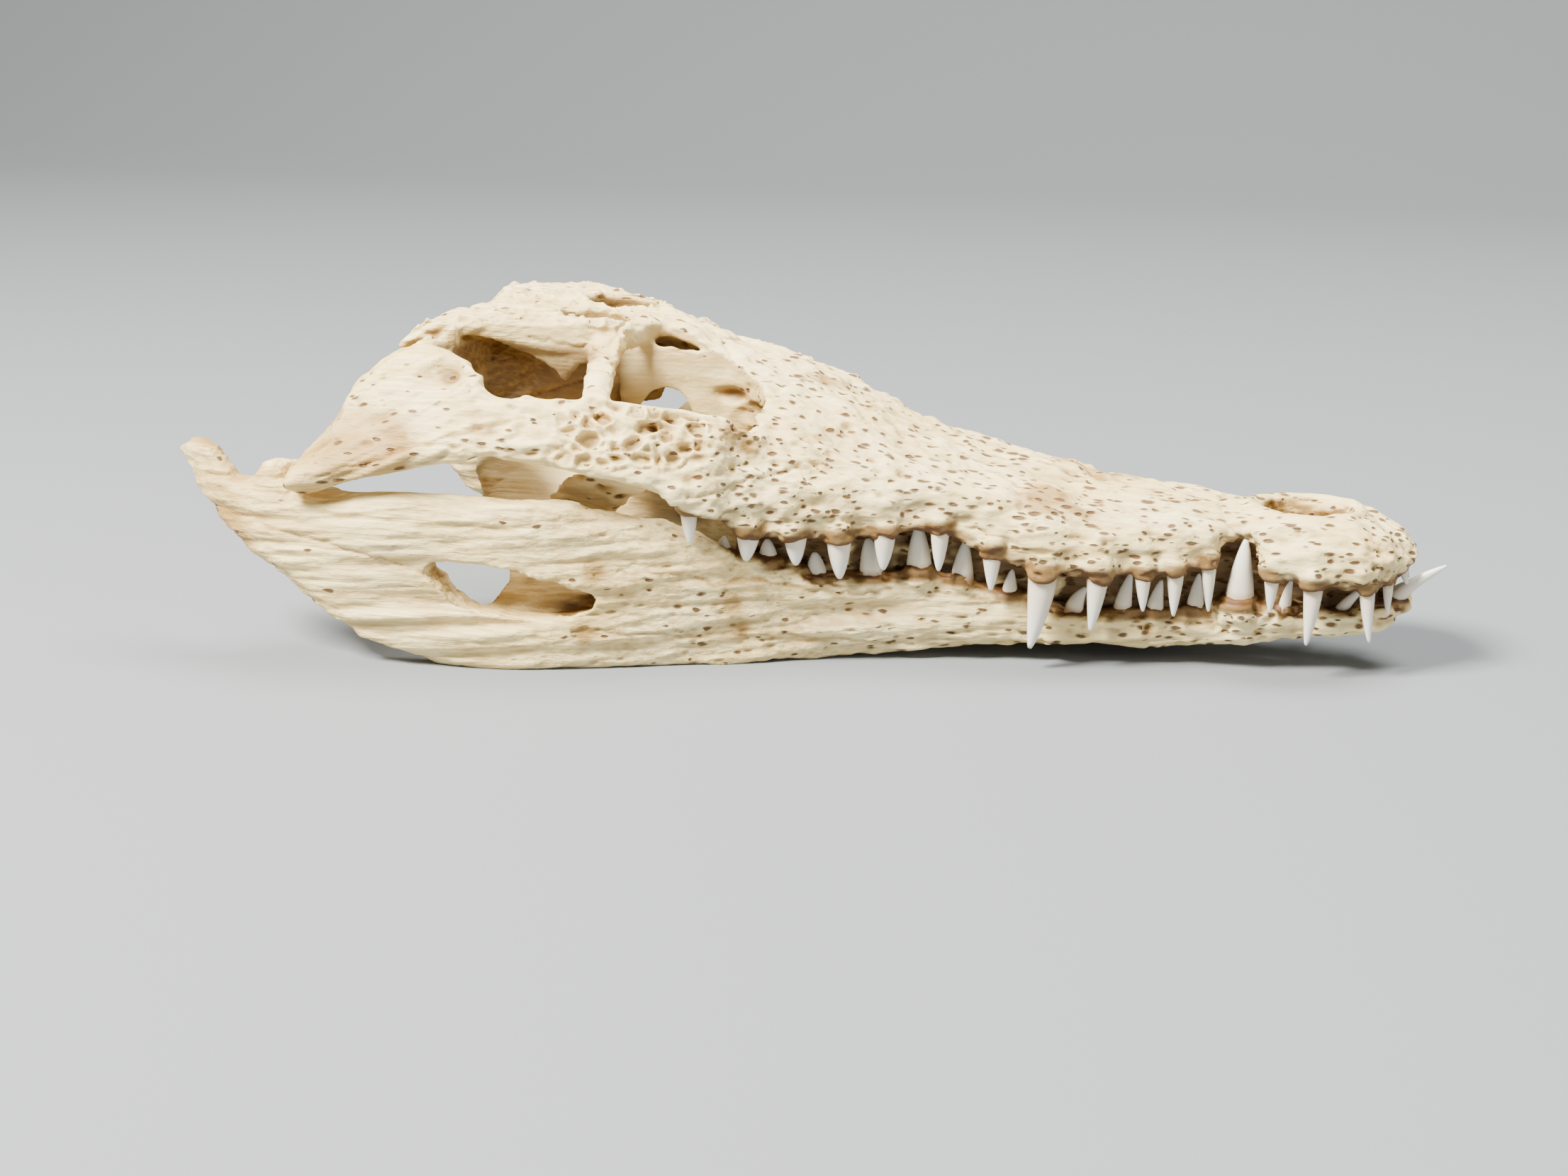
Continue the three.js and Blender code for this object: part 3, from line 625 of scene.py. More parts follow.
class CraniumRelief(Relief):
    """Relief of the cranium."""

    seed = 11
    dimples = (
        Dimple(291.3, 61.3, 90.0, 4.4, 3.0, 3.2, 0.95),
        Dimple(305.2, 40.0, 97.6, 3.6, 0.9, 1.4, 0.8),
        Dimple(273.3, 76.4, 75.8, 4.4, 1.5, 1.8, 0.7),
        Dimple(211.5, 61.1, 67.8, 3.6, 1.5, 1.8, 0.7),
        Dimple(291.0, 79.7, 71.5, 2.0, 0.8, 0.9, 0.6),
        Dimple(282.5, 79.3, 71.0, 1.7, 0.8, 0.9, 0.6),
        Dimple(274.2, 78.6, 70.9, 1.8, 0.8, 0.9, 0.6),
        Dimple(266.5, 77.2, 70.2, 1.9, 0.9, 1.0, 0.6),
        Dimple(259.4, 75.7, 69.5, 2.3, 1.0, 1.2, 0.7),
        Dimple(302.2, 77.6, 73.4, 3.4, 1.2, 0.9, 0.5),
        Dimple(244.9, 56.0, 55.2, 1.1, 1.1, 1.6, 0.95),
        Dimple(214.5, 14.1, 77.4, 5.4, 2.4, 3.4, 0.95),
        Dimple(232.0, 9.0, 92.0, 0.9, 0.9, 1.0, 0.9),
    )
    plates = (
        Plate(
            rim=(
                (251, 96), (252.5, 90.5), (254.5, 88.6), (256, 89.6), (257.5, 87.8), (259.6, 88.6),
                (261.4, 86.2), (263, 84.2), (265.4, 81.6), (267.6, 82.8), (268.4, 85.2), (270.6, 86.4),
                (272.2, 88.2), (274.6, 88.8), (276, 90.4), (279, 91.2), (284, 93), (290, 95), (292, 98),
                (270, 98),
            ),
            y=27.5,
            lean=0.2,
            thick=1.5,
        ),
        Plate(
            rim=(
                (270, 84), (264, 84.4), (258, 83.8), (252.8, 84.6), (257.5, 83.0), (261.5, 82.6),
                (256.8, 81.6), (262.5, 81.0), (268, 79), (276, 78), (277, 82),
            ),
            y=66.0,
            lean=-0.2,
            thick=1.6,
        ),
        Plate(
            rim=(
                (307.7, 102.4), (312.5, 98.59), (316.4, 93.85), (315.4, 87.8), (302.5, 86.92),
                (297.1, 94.78), (297.5, 100.8),
            ),
            y=38.0,
            lean=0.0,
            thick=3.6,
        ),
        Plate(
            rim=(
                (253, 94), (246, 94), (240, 93), (230, 91), (222, 89.5), (216, 87.5), (210, 85.5),
                (200, 81), (198, 66), (228.2, 69.42), (229.7, 73.99), (232.8, 77.38), (237, 78.24),
                (241.4, 76.92), (244.7, 73.17), (247, 69.31), (253, 68),
            ),
            y=12.0,
            lean=0.0,
            thick=1.8,
        ),
        Plate(
            rim=((208.7, 77.5), (203, 77), (198.5, 76.5), (195.5, 74), (193, 66), (209.4, 66)),
            y=58.7,
            lean=0.0,
            thick=5.0,
            turn=1.0,
        ),
    )

    def blend_zone(self, m: Surface) -> Array:
        """Steps at the cheek, behind the roof and between the eye sockets.

        Args:
            m: vertices of the bone.

        Returns:
            (n,) values from 0 to 1.
        """
        cheek = band(m.s, 190, 215, 4) * smoothstep(38, 44, m.y) * smoothstep(42, 47, m.z)
        wall = band(m.s, 270, 279, 2) * smoothstep(60, 66, m.y)
        front = band(m.s, 216, 226, 2) * smoothstep(86, 90, m.z) * (1 - smoothstep(8, 14, m.y))
        return np.maximum.reduce([cheek, wall, front])

    def skin(self, m: Surface) -> Array:
        """How far a point lies on the sculptured outside.

        Args:
            m: vertices of the bone.

        Returns:
            (n,) values from 0 to 1.
        """
        roof = smoothstep(0.0, 0.35, m.up) * smoothstep(96, 99, m.z)
        snout = smoothstep(-0.05, 0.3, np.maximum(m.up, m.outward)) * (1 - smoothstep(206, 216, m.s))
        cheek = smoothstep(0.25, 0.6, m.outward) * smoothstep(46, 52, m.y) * smoothstep(196, 206, m.s)
        frontal = smoothstep(0.3, 0.6, m.up) * smoothstep(84, 90, m.z)
        return np.clip(np.maximum.reduce([roof, snout, cheek, frontal]), 0, 1)

    def height(self, m: Surface) -> Array:
        """Knobs, grain, rays on the quadrate, nostril lip, ridge and swellings.

        Args:
            m: vertices of the bone.

        Returns:
            (n,) heights, mm.
        """
        p = m.points
        skin = self.skin(m)
        rough = 1 - smoothstep(276, 292, m.s) * (1 - smoothstep(97, 100, m.z))
        knobs = Noise.fractal(p, (15, 11, 11), self.seed, 3) * 0.95
        grain = Noise.fractal(p, (13, 3.1, 3.1), self.seed + 5, 3) * 0.95
        pebble = Noise.fractal(p, (4.8, 3.4, 3.4), self.seed + 9, 2) * 0.6
        height = skin * rough * (knobs + grain + pebble)
        height += (1 - skin * rough) * Noise.fractal(p, (19, 4.4, 4.4), self.seed + 13, 3) * 0.45
        wall = smoothstep(0.2, 0.6, m.outward) * smoothstep(272, 286, m.s)
        slope = m.z + (m.s - 300) * 0.5
        rays = np.stack([slope, m.s * 0.16, np.zeros_like(slope)], axis=1)
        height += wall * Noise.fractal(rays, (4.4, 4.4, 9), self.seed + 15, 3) * 1.2
        lip = np.hypot((m.s - 34) / 15.5, m.points[:, 1] / 13) - 1.12
        lip = np.exp(-((lip / 0.12) ** 2)) * smoothstep(42, 45, m.z)
        height = height * (1 - lip * 0.8) + lip * 1.1
        ridge = band(m.s, 118, 196, 16) * np.exp(-(((m.y - (m.s - 90) * 0.2) / 4.5) ** 2))
        height += skin * ridge * 1.1 * smoothstep(0.4, 0.8, m.up)
        height += skin * self.knuckles(m)
        return height + self.netted(m) * 0.6

    def net(self, m: Surface) -> Array:
        """Deep cells of the cheek and the skull roof.

        Args:
            m: vertices of the bone.

        Returns:
            (n,) values from 0 to 1.
        """
        first, second = Noise.cells(m.points, (6.0, 4.3, 4.3), self.seed + 21)
        wall = smoothstep(0.05, 0.28, second - first)
        return self.netted(m) * wall * (1 - smoothstep(0.3, 0.85, first) * 0.5)

    def knuckles(self, m: Surface) -> Array:
        """Low swellings over the teeth.

        Args:
            m: vertices of the bone.

        Returns:
            (n,) heights, mm.
        """
        total = np.zeros(len(m.points))
        for tooth in UPPER_TEETH:
            reach = tooth.thick * 0.8
            swell = np.exp(-(((m.s - tooth.s) / reach) ** 2)) * (1 - smoothstep(5, 17, m.z - tooth.gum))
            total += swell * 0.09 * tooth.thick
        return total

    def netted(self, m: Surface) -> Array:
        """Where the bone is netted with deep round pits.

        Args:
            m: vertices of the bone.

        Returns:
            (n,) values from 0 to 1.
        """
        cheek = band(m.s, 208, 252, 8) * smoothstep(0.15, 0.5, m.outward) * smoothstep(48, 54, m.y)
        cheek *= band(m.z, 66, 82, 3)
        table = smoothstep(0.55, 0.85, m.up) * smoothstep(99, 101, m.z) * band(m.s, 246, 300, 4) * 0.55
        return np.clip(cheek + table, 0, 1)

    def pit_fields(self, m: Surface) -> list[tuple[PitKind, Array]]:
        """Pits of the tooth margin, snout, cheek and quadrate.

        Args:
            m: vertices of the bone.

        Returns:
            Kinds of pit with their densities.
        """
        skin = self.skin(m)
        rise = m.z - self.margin(m)
        ahead = 1 - smoothstep(200, 216, m.s)
        margin = skin * (1 - smoothstep(14, 26, rise)) * ahead
        crown = skin * smoothstep(12, 20, rise) * ahead
        cheek = skin * smoothstep(200, 212, m.s) * (1 - smoothstep(268, 280, m.s))
        wall = smoothstep(0.2, 0.6, m.outward) * smoothstep(276, 284, m.s) * (1 - smoothstep(84, 96, m.z))
        return [
            (PitKind(150, (0.8, 1.25), (0.6, 1.2), 1.6), margin),
            (PitKind(110, (0.7, 1.1), (0.5, 1.0), 2.4), crown),
            (PitKind(110, (0.7, 1.5), (0.6, 1.3), 1.8), cheek),
            (PitKind(24, (0.6, 1.0), (0.35, 0.8), 2.6), wall),
        ]

    def painted_shade(self, m: Surface) -> Array:
        """Painted shade inside the temporal window, under the palate and on the mouth's walls.

        Args:
            m: vertices of the bone.

        Returns:
            (n,) values from 0 to 1.
        """
        inside = band(m.s, 250, 301, 4) * (1 - smoothstep(42, 50, m.y)) * (1 - smoothstep(92, 96, m.z))
        inside *= smoothstep(58, 66, m.z)
        under = smoothstep(0.2, 0.6, -m.up) * (1 - smoothstep(205, 220, m.s)) * 0.75
        wall, _, top = mouth_wall(m.s)
        mouth = (1 - smoothstep(0.8, 2.4, m.y - wall)) * (1 - smoothstep(-5, -2, m.z - top)) * (m.s < 210)
        patch = Noise.fractal(m.points, (14, 9, 9), 67, 3)
        return np.clip(np.maximum(np.maximum(inside * 1.15, under) * (0.9 + 0.3 * patch), mouth * 1.1), 0, 1)

    def detail(self, m: Surface) -> Array:
        """Slits on the snout and fibres towards the rear.

        Args:
            m: vertices of the bone.

        Returns:
            (n, 2) values from 0 to 1.
        """
        skin = self.skin(m)
        snout = skin * (1 - smoothstep(204, 216, m.s))
        near = 1 - smoothstep(10, 26, m.z - self.margin(m))
        slits = snout * (0.55 + 0.45 * near) + (skin - snout).clip(0) * 0.3
        fibres = 0.25 + 0.75 * smoothstep(268, 284, m.s) + 0.2 * snout
        return np.stack([slits, np.clip(fibres, 0, 1)], axis=1)

    def margin(self, m: Surface) -> Array:
        """Height of the tooth row at each point, mm."""
        stations = [tooth.s for tooth in UPPER_TEETH]
        return np.interp(m.s, stations, [tooth.gum for tooth in UPPER_TEETH])

    def sutures(self, m: Surface) -> Array:
        """Distance from the cranium's sutures.

        Args:
            m: vertices of the bone.

        Returns:
            (n,) distances, mm.
        """
        top = smoothstep(0.2, 0.5, m.up) > 0.5
        lines = [
            (top & (m.s < 205) & (m.s > 46), m.s, m.points[:, 1], 0.8),
            (top & (m.s > 56) & (m.s < 196), m.s, m.y - (5 + m.s * 0.028), 1.2),
            ((m.s > 40) & (m.s < 72) & (m.z > 36), m.z, m.s - 53 - (m.z - 44) * 1.1, 1.3),
            (top & (m.s > 214) & (m.s < 230) & (m.y < 18), m.y, m.s - 222 + m.y * 0.5, 1.4),
            (top & (m.s > 246) & (m.s < 252) & (m.z > 95), m.y, m.s - 248.5, 1.0),
            ((m.outward > 0.3) & (m.z > 88) & (m.s > 250) & (m.s < 276), m.s, m.z - 95.5 - (m.s - 262) * 0.1, 1.6),
            ((m.outward > 0.2) & (m.y > 40) & (m.s > 168) & (m.s < 214), m.s, m.z - 62 + (m.s - 190) * 0.25, 1.5),
            ((m.outward > 0.2) & (m.s > 262) & (m.s < 330) & (m.z < 90), m.s, m.z - 78 + (m.s - 270) * 0.3, 1.0),
        ]
        return nearest_suture(len(m.points), lines, 100)

    def stain(self, m: Surface) -> Array:
        """Stains of the quadrate, cheek, snout and roof's edges, painted shade in the eye sockets, and tan low at
        the back, round the nostril and in the roof's windows.

        Args:
            m: vertices of the bone.

        Returns:
            (n,) values from 0 to 1.
        """
        cloud = Noise.fractal(m.points, (22, 14, 14), 61, 3)
        wall = band(m.s, 300, 345, 12) * smoothstep(0.0, 0.4, np.maximum(m.outward, m.up))
        wall *= 1 - smoothstep(72, 82, m.z)
        total = np.minimum(wall * (1.6 + cloud), 0.9)
        total += band(m.s, 182, 204, 5) * band(m.z, 66, 82, 4) * smoothstep(0.1, 0.6, cloud) * 1.3
        total += band(m.s, 84, 118, 7) * smoothstep(46, 50, m.z) * smoothstep(-0.1, 0.6, cloud) * 0.9
        total += band(m.s, 258, 300, 8) * band(m.z, 92, 101, 3) * smoothstep(0.3, 0.6, m.outward) * 0.4
        # Painted shade in the eye sockets, as tan where the faces don't face up.
        socket = band(m.s, 198, 250, 4) * (1 - smoothstep(44, 50, m.y)) * band(m.z, 56, 94, 3)
        total += socket * (1 - smoothstep(0.3, 0.7, m.up)) * 0.85
        total += smoothstep(212, 226, m.s) * (1 - smoothstep(58, 64, m.z)) * (1 - smoothstep(62, 70, m.y)) * 0.45
        ring = np.hypot((m.s - 34) / 14.5, m.points[:, 1] / 12)
        total += (1 - smoothstep(0.8, 1.0, ring)) * smoothstep(36, 40, m.z) * 0.7
        window = np.hypot((m.s - 260) / 12, (m.y - 14.8) / 8.5)
        total += (1 - smoothstep(0.95, 1.2, window)) * smoothstep(84, 88, m.z) * 0.7
        return np.clip(total * (0.75 + 0.6 * cloud), 0, 1)


class JawRelief(Relief):
    """Relief of one half of the lower jaw."""

    seed = 31
    # Station, height and radius of each.
    BLOTS = ((203, 20, 3.2), (201, 12, 2.4), (243, 32, 3.0), (246, 12, 2.6), (196, 24, 2.0))
    plates = (
        Plate(
            rim=(
                (286.5, 14.5), (281, 17.6), (277, 20.6), (273.6, 24.5), (271.4, 28), (269.8, 35), (243, 35),
                (243, 9.5), (286.5, 9.5),
            ),
            y=68.4,
            lean=0.0,
            thick=1.8,
            turn=0.234,
        ),
    )

    def warp(self, point: Vector) -> Vector:
        """The left half's rear end sits a little lower and further in.

        Args:
            point: a point of the bone, mm.

        Returns:
            Shift of the point, mm.
        """
        share = float(smoothstep(356, 382, np.array(SNOUT_X - point.x))) * (point.y > 0)
        return Vector((4.5, -2.0, -5.0)) * share

    @staticmethod
    def flank(m: Surface) -> Array:
        """How far a point faces outwards, or down and outwards."""
        return m.outward - np.minimum(m.up, 0) * 0.7

    def height(self, m: Surface) -> Array:
        """Long grain, broad swells and sockets of the teeth.

        Args:
            m: vertices of the bone.

        Returns:
            (n,) heights, mm.
        """
        p = m.points
        front = 1 - smoothstep(150, 235, m.s)
        level = m.z + (m.s - 240) * 0.06
        along = np.stack([m.s, m.y * 0.3, level], axis=1)
        grain = Noise.fractal(along, (34, 6, 3.4), self.seed, 4) * 1.25
        broad = Noise.fractal(p, (34, 12, 12), self.seed + 5, 2) * 0.5
        pebble = Noise.fractal(p, (5, 3.4, 3.4), self.seed + 9, 2) * 0.3 * (0.4 + front)
        height = grain + broad + pebble
        for tooth in LOWER_TEETH:
            swell = np.exp(-(((m.s - tooth.s) / (tooth.thick * 0.75)) ** 2))
            height += swell * band(m.z, tooth.gum - 5, tooth.gum + 3, 2) * 0.05 * tooth.thick
        return height

    def pit_fields(self, m: Surface) -> list[tuple[PitKind, Array]]:
        """Pits of the chin, the side and the rear.

        Args:
            m: vertices of the bone.

        Returns:
            Kinds of pit with their densities.
        """
        outside = smoothstep(0.1, 0.5, self.flank(m))
        chin = outside * (1 - smoothstep(80, 130, m.s))
        middle = outside * smoothstep(70, 120, m.s) * (1 - smoothstep(240, 262, m.s))
        rear = outside * smoothstep(232, 250, m.s) * (1 - smoothstep(330, 345, m.s))
        return [
            (PitKind(110, (0.8, 1.2), (0.6, 1.3), 1.4), chin),
            (PitKind(120, (0.42, 0.7), (0.5, 0.9), 6.0), middle),
            (PitKind(14, (0.5, 0.75), (0.3, 0.7), 5.0), rear),
        ]

    def painted_shade(self, m: Surface) -> Array:
        """Painted shade on the inner face, in the window's crack and along the tooth row.

        Args:
            m: vertices of the bone.

        Returns:
            (n,) values from 0 to 1.
        """
        inner = smoothstep(0.1, 0.5, -m.outward) * (1 - smoothstep(190, 240, m.s)) * 0.7
        crack = np.exp(-(((m.s - 253) / 5) ** 2) - ((m.z - 17.6) / 2.2) ** 2) * (m.y < 69)
        inner = np.maximum(inner, crack * 1.2)
        return np.maximum(inner, smoothstep(0.5, 0.8, m.up) * (1 - smoothstep(200, 220, m.s)) * 0.45)

    def detail(self, m: Surface) -> Array:
        """Slits on the chin and fibres along the side.

        Args:
            m: vertices of the bone.

        Returns:
            (n, 2) values from 0 to 1.
        """
        outside = smoothstep(0.0, 0.4, self.flank(m))
        slits = outside * (0.95 - 0.7 * smoothstep(60, 130, m.s)) * (1 - smoothstep(210, 240, m.s) * 0.85)
        fibres = 0.35 + 0.65 * smoothstep(90, 170, m.s)
        return np.stack([slits, fibres], axis=1)

    def sutures(self, m: Surface) -> Array:
        """Distance from the jaw's sutures.

        Args:
            m: vertices of the bone.

        Returns:
            (n,) distances, mm.
        """
        out = m.outward > 0.1
        lines = [
            (out & (m.s > 160) & (m.s < 243), m.s, m.z - 31 - (m.s - 235) * 0.12, 1.4),
            (out & (m.s > 150) & (m.s < 250), m.s, m.z - 12 - (m.s - 240) * 0.07, 1.0),
            (out & (m.s > 290) & (m.s < 350), m.s, m.z - 31 - (m.s - 295) * 0.24, 1.0),
        ]
        return nearest_suture(len(m.points), lines, 200)

    def stain(self, m: Surface) -> Array:
        """Stains of the rear end and small blots, and painted shade as tan in the window's rim, on the inside and
        along the top of the tooth row.

        Args:
            m: vertices of the bone.

        Returns:
            (n,) values from 0 to 1.
        """
        cloud = Noise.fractal(m.points, (20, 10, 10), 71, 3)
        total = band(m.s, 352, 392, 8) * (0.75 + 0.5 * cloud)
        for s, z, r in self.BLOTS:
            blot = np.exp(-(((m.s - s) / r) ** 2) - ((m.z - z) / (r * 1.4)) ** 2)
            total = total + blot * smoothstep(0.2, 0.6, m.outward) * 1.3
        # Painted shade: tan on the inner face, in the window and along the top of the tooth row.
        total = total + smoothstep(0.1, 0.5, -m.outward) * 0.55
        inside = band(m.s, 244, 290, 2) * band(m.z, 14, 34, 1) * (m.y < 58.5 + (m.s - 240) * 0.234)
        total = total + inside * 0.6
        total = total + smoothstep(0.3, 0.7, m.up) * (1 - smoothstep(214, 224, m.s)) * 0.6
        return np.clip(total * (0.8 + 0.5 * cloud) + smoothstep(0.55, 1.1, cloud) * 0.25, 0, 1)


@dataclass(frozen=True)
class BoneShell:
    """A fused and sculpted bone that stands for several bones of the frame.

    Attributes:
        name: object name.
        nodes: bones of the frame that it stands for.
        row: tooth row that it carries.
        sides: halves on which it carries teeth.
        relief: its relief.
        budget: most triangles of the finished mesh.
        voxel: grid size of the fused surface, mm.
    """

    name: str
    nodes: list[str]
    row: Row
    sides: tuple[Side, ...]
    relief: Relief
    budget: int
    voxel: float

    ROOT = -0.12
    COLLAR = ((1.1, 1.1), (1.08, 1.0), (1.0, 0.8), (0.92, 0.4))
    SEAM_PASSES = 150

    @property
    def teeth(self) -> list[tuple[Tooth, Side]]:
        """Teeth of the shell with their sides."""
        table = UPPER_TEETH if self.row is Row.UPPER else LOWER_TEETH
        return [(tooth, side) for side in self.sides for tooth in table]

    def build(self, frame: dict) -> bpy.types.Object:
        """Makes the finished shell.

        Args:
            frame: the loaded frame.

        Returns:
            The shell's object.
        """
        shell = self._gather(frame)
        self._remesh(shell)
        pits = self._sculpt(shell)
        shell.data.attributes.new("pit", "FLOAT", "POINT").data.foreach_set("value", pits)
        self._thin(shell)
        self._paint(shell)
        LOG.info("%s: %d faces", self.name, len(shell.data.polygons))
        return shell

    def _gather(self, frame: dict) -> bpy.types.Object:
        """Copies the bones, closes their joints, and adds collars, links, walls and plates.

        Args:
            frame: the loaded frame.

        Returns:
            The gathered copy.
        """
        mesh = bmesh.new()
        for node in self.nodes:
            part = bmesh.new()
            part.from_mesh(frame["nodes"][node].data)
            bmesh.ops.remove_doubles(part, verts=part.verts, dist=1e-6)
            part.normal_update()
            moves = [vertex.normal.copy() for vertex in part.verts]
            for vertex, normal in zip(part.verts, moves):
                vertex.co += normal * PUSH_OUT * MM
            copy = bpy.data.meshes.new(node + "_copy")
            part.to_mesh(copy)
            part.free()
            mesh.from_mesh(copy)
            bpy.data.meshes.remove(copy)
        self._draw_in(mesh)
        for tooth, side in self.teeth:
            levels = (self.ROOT, 0, tooth.collar * 0.6, tooth.collar)
            points = [tooth.centre(level, side) for level in levels]
            reach = tooth.thick / 2
            add_tube(mesh, points, [reach * share + more for share, more in self.COLLAR])
        for first, second in self._links():
            add_tube(mesh, [first, second], [LINK_RADIUS, LINK_RADIUS])
        if self.row is Row.UPPER:
            for side in self.sides:
                self._mouth_wall(mesh, side)
        for side in self.sides:
            for plate in self.relief.plates:
                plate.add(mesh, side)
        for vertex in mesh.verts:
            vertex.co += self.relief.warp(vertex.co / MM) * MM
        data = bpy.data.meshes.new(self.name)
        mesh.to_mesh(data)
        mesh.free()
        shell = bpy.data.objects.new(self.name, data)
        bpy.context.scene.collection.objects.link(shell)
        return shell

    @staticmethod
    def _mouth_wall(mesh: bmesh.types.BMesh, side: Side) -> None:
        """Adds the dark wall of bone between palate and teeth that closes the mouth's inside, a sheet of painted
        shade.

        Args:
            mesh: mesh that takes it.
            side: half of the skull.
        """
        rows = []
        for s in range(14, 208, 6):
            y, foot, top = mouth_wall(np.array(float(s)))
            corners = ((y, foot), (y - WALL_THICK, foot), (y - WALL_THICK, top), (y, top))
            rows.append([mesh.verts.new(Vector((SNOUT_X - s, side.value * a, z)) * MM) for a, z in corners])
        faces = [mesh.faces.new(rows[0]), mesh.faces.new(rows[-1][::-1])]
        for near, far in zip(rows, rows[1:]):
            for index in range(4):
                after = (index + 1) % 4
                faces.append(mesh.faces.new((near[index], near[after], far[after], far[index])))
        bmesh.ops.recalc_face_normals(mesh, faces=faces)

    def _links(self) -> list[tuple[Vector, Vector]]:
        """Ends of the ridge of bone between each tooth and the next.

        Returns:
            Pairs of points, mm.
        """
        links = []
        for (tooth, side), (after, other) in zip(self.teeth, self.teeth[1:]):
            if side is other and not (self.row is Row.UPPER and after.s - tooth.s > 18):
                links.append((tooth.centre(0.02, side), after.centre(0.02, side)))
        return links

    def _draw_in(self, mesh: bmesh.types.BMesh) -> None:
        """Pulls the crowns of the plain teeth into their sockets.

        Args:
            mesh: the copied bones.
        """
        for vertex in mesh.verts:
            spot = vertex.co / MM
            for tooth, side in self.teeth:
                if abs(spot.x - SNOUT_X + tooth.s) > 24 or spot.y * side.value < 0:
                    continue
                level = (spot.z - tooth.gum) / (tooth.tip_z - tooth.gum)
                if not 0.22 < level < 1.12:
                    continue
                if (tooth.centre(level, side) - spot).length < tooth.thick * 0.62 + 0.5:
                    vertex.co = tooth.centre(self.ROOT, side) * MM
                    break

    def _remesh(self, shell: bpy.types.Object) -> None:
        """Fuses the copied bones into one skin and rounds its facets.

        Args:
            shell: the copied bones.
        """
        remesh = shell.modifiers.new("fuse", "REMESH")
        remesh.mode = "VOXEL"
        remesh.voxel_size = self.voxel * MM
        smooth = shell.modifiers.new("round", "SMOOTH")
        smooth.factor = 0.6
        smooth.iterations = 9
        apply_modifiers(shell)
        surface = read_surface(shell.data)
        share = self.relief.blend_zone(surface)
        if share.max() <= 0:
            return
        group = shell.vertex_groups.new(name="seam")
        for index in np.nonzero(share > 0.02)[0]:
            group.add([int(index)], float(share[index]), "REPLACE")
        even = shell.modifiers.new("even", "SMOOTH")
        even.factor = 0.6
        even.iterations = self.SEAM_PASSES
        even.vertex_group = "seam"
        apply_modifiers(shell)
        shell.vertex_groups.clear()

    def _sculpt(self, shell: bpy.types.Object) -> Array:
        """Raises the relief and sinks the pits.

        Args:
            shell: the fused shell.

        Returns:
            How deep each vertex lies in a pit or suture, 0 to 1.
        """
        surface = read_surface(shell.data)
        height = self.relief.height(surface)
        # Low places of the relief are darkened later as painted shade; sutures as dark joints.
        low = smoothstep(0.05, 0.9, -height) * 0.5
        line = self.relief.sutures(surface)
        groove = np.exp(-((line / 0.55) ** 2))
        height -= groove * 0.65
        pits = np.maximum(groove * 0.75, low)
        net = self.relief.net(surface)
        height -= net * 2.3
        pits = np.maximum(pits, net * 0.95)
        for dimple in self.relief.dimples:
            shape = dimple.shape(surface)
            height = height * (1 - shape) - shape * dimple.depth
            pits = np.maximum(pits, shape * dimple.dark * 1.4)
        height, pits = self._sink_pits(surface, height, pits)
        moved = surface.points + surface.normals * height[:, None]
        moved[:, 2] = np.maximum(moved[:, 2], 0.0)
        shell.data.vertices.foreach_set("co", (moved * MM).ravel())
        shell.data.update()
        return pits

    def _sink_pits(self, surface: Surface, height: Array, pits: Array) -> tuple[Array, Array]:
        """Sinks the scattered pits into the relief.

        Args:
            surface: vertices of the bone.
            height: height of the relief, mm.
            pits: how deep each vertex lies in a pit.

        Returns:
            The new height and pits.
        """
        rng = np.random.default_rng(self.relief.seed)
        tree = KDTree(len(surface.points))
        for index, point in enumerate(surface.points):
            tree.insert(point, index)
        tree.balance()
        for kind, density in self.relief.pit_fields(surface):
            chance = density / max(density.sum(), 1e-9)
            for centre in rng.choice(len(chance), size=kind.count, p=chance):
                radius = rng.uniform(*kind.radius)
                depth = rng.uniform(*kind.depth)
                stretch = kind.stretch * rng.uniform(0.7, 1.25)
                spot = surface.points[centre]
                near = [hit[1] for hit in tree.find_range(spot, radius * max(stretch, 1) * 1.5)]
                gap = surface.points[near] - spot
                gap[:, 0] /= stretch
                reach = np.linalg.norm(gap, axis=1) / radius
                shape = np.exp(-(reach**2.6))
                height[near] -= shape * depth
                pits[near] = np.maximum(pits[near], shape * 0.75)
        return height, pits

    def _thin(self, shell: bpy.types.Object) -> None:
        """Reduces the mesh to its budget.

        Args:
            shell: the sculpted shell.
        """
        triangles = sum(len(face.vertices) - 2 for face in shell.data.polygons)
        if triangles > self.budget:
            thin = shell.modifiers.new("thin", "DECIMATE")
            thin.ratio = self.budget / triangles
            apply_modifiers(shell)

    def _paint(self, shell: bpy.types.Object) -> None:
        """Stores the bone's colour on its vertices, with painted shade in shut-in places, pits and hollows and
        along the tooth rows.

        Args:
            shell: the thinned shell.
        """
        mesh = shell.data
        surface = read_surface(mesh)
        pits = np.zeros(len(mesh.vertices))
        mesh.attributes["pit"].data.foreach_get("value", pits)
        shut = hollowness(shell, surface, rays=7)
        stain = self.relief.stain(surface)
        gum = self._gum_stain(surface)
        cloud = Noise.fractal(surface.points, (30, 18, 18), 41, 3)
        streak = Noise.fractal(surface.points, (18, 2.2, 2.2), 43, 2)
        # Painted shade: warmer where the vertex is shut in.
        warm = np.clip(0.25 + cloud * 0.5 + streak * 0.35 + shut * 1.1, 0, 1)
        colour = mix(BONE.light, BONE.warm, warm)
        # Browner with stains, dark sutures, and painted shade in pits, shut-in places and along the tooth rows.
        brown = stain * 0.85 + gum * 0.9 + pits * 0.6 + smoothstep(0.25, 0.6, shut) * 0.4
        colour = mix(colour, BONE.stain, np.clip(brown, 0, 1))
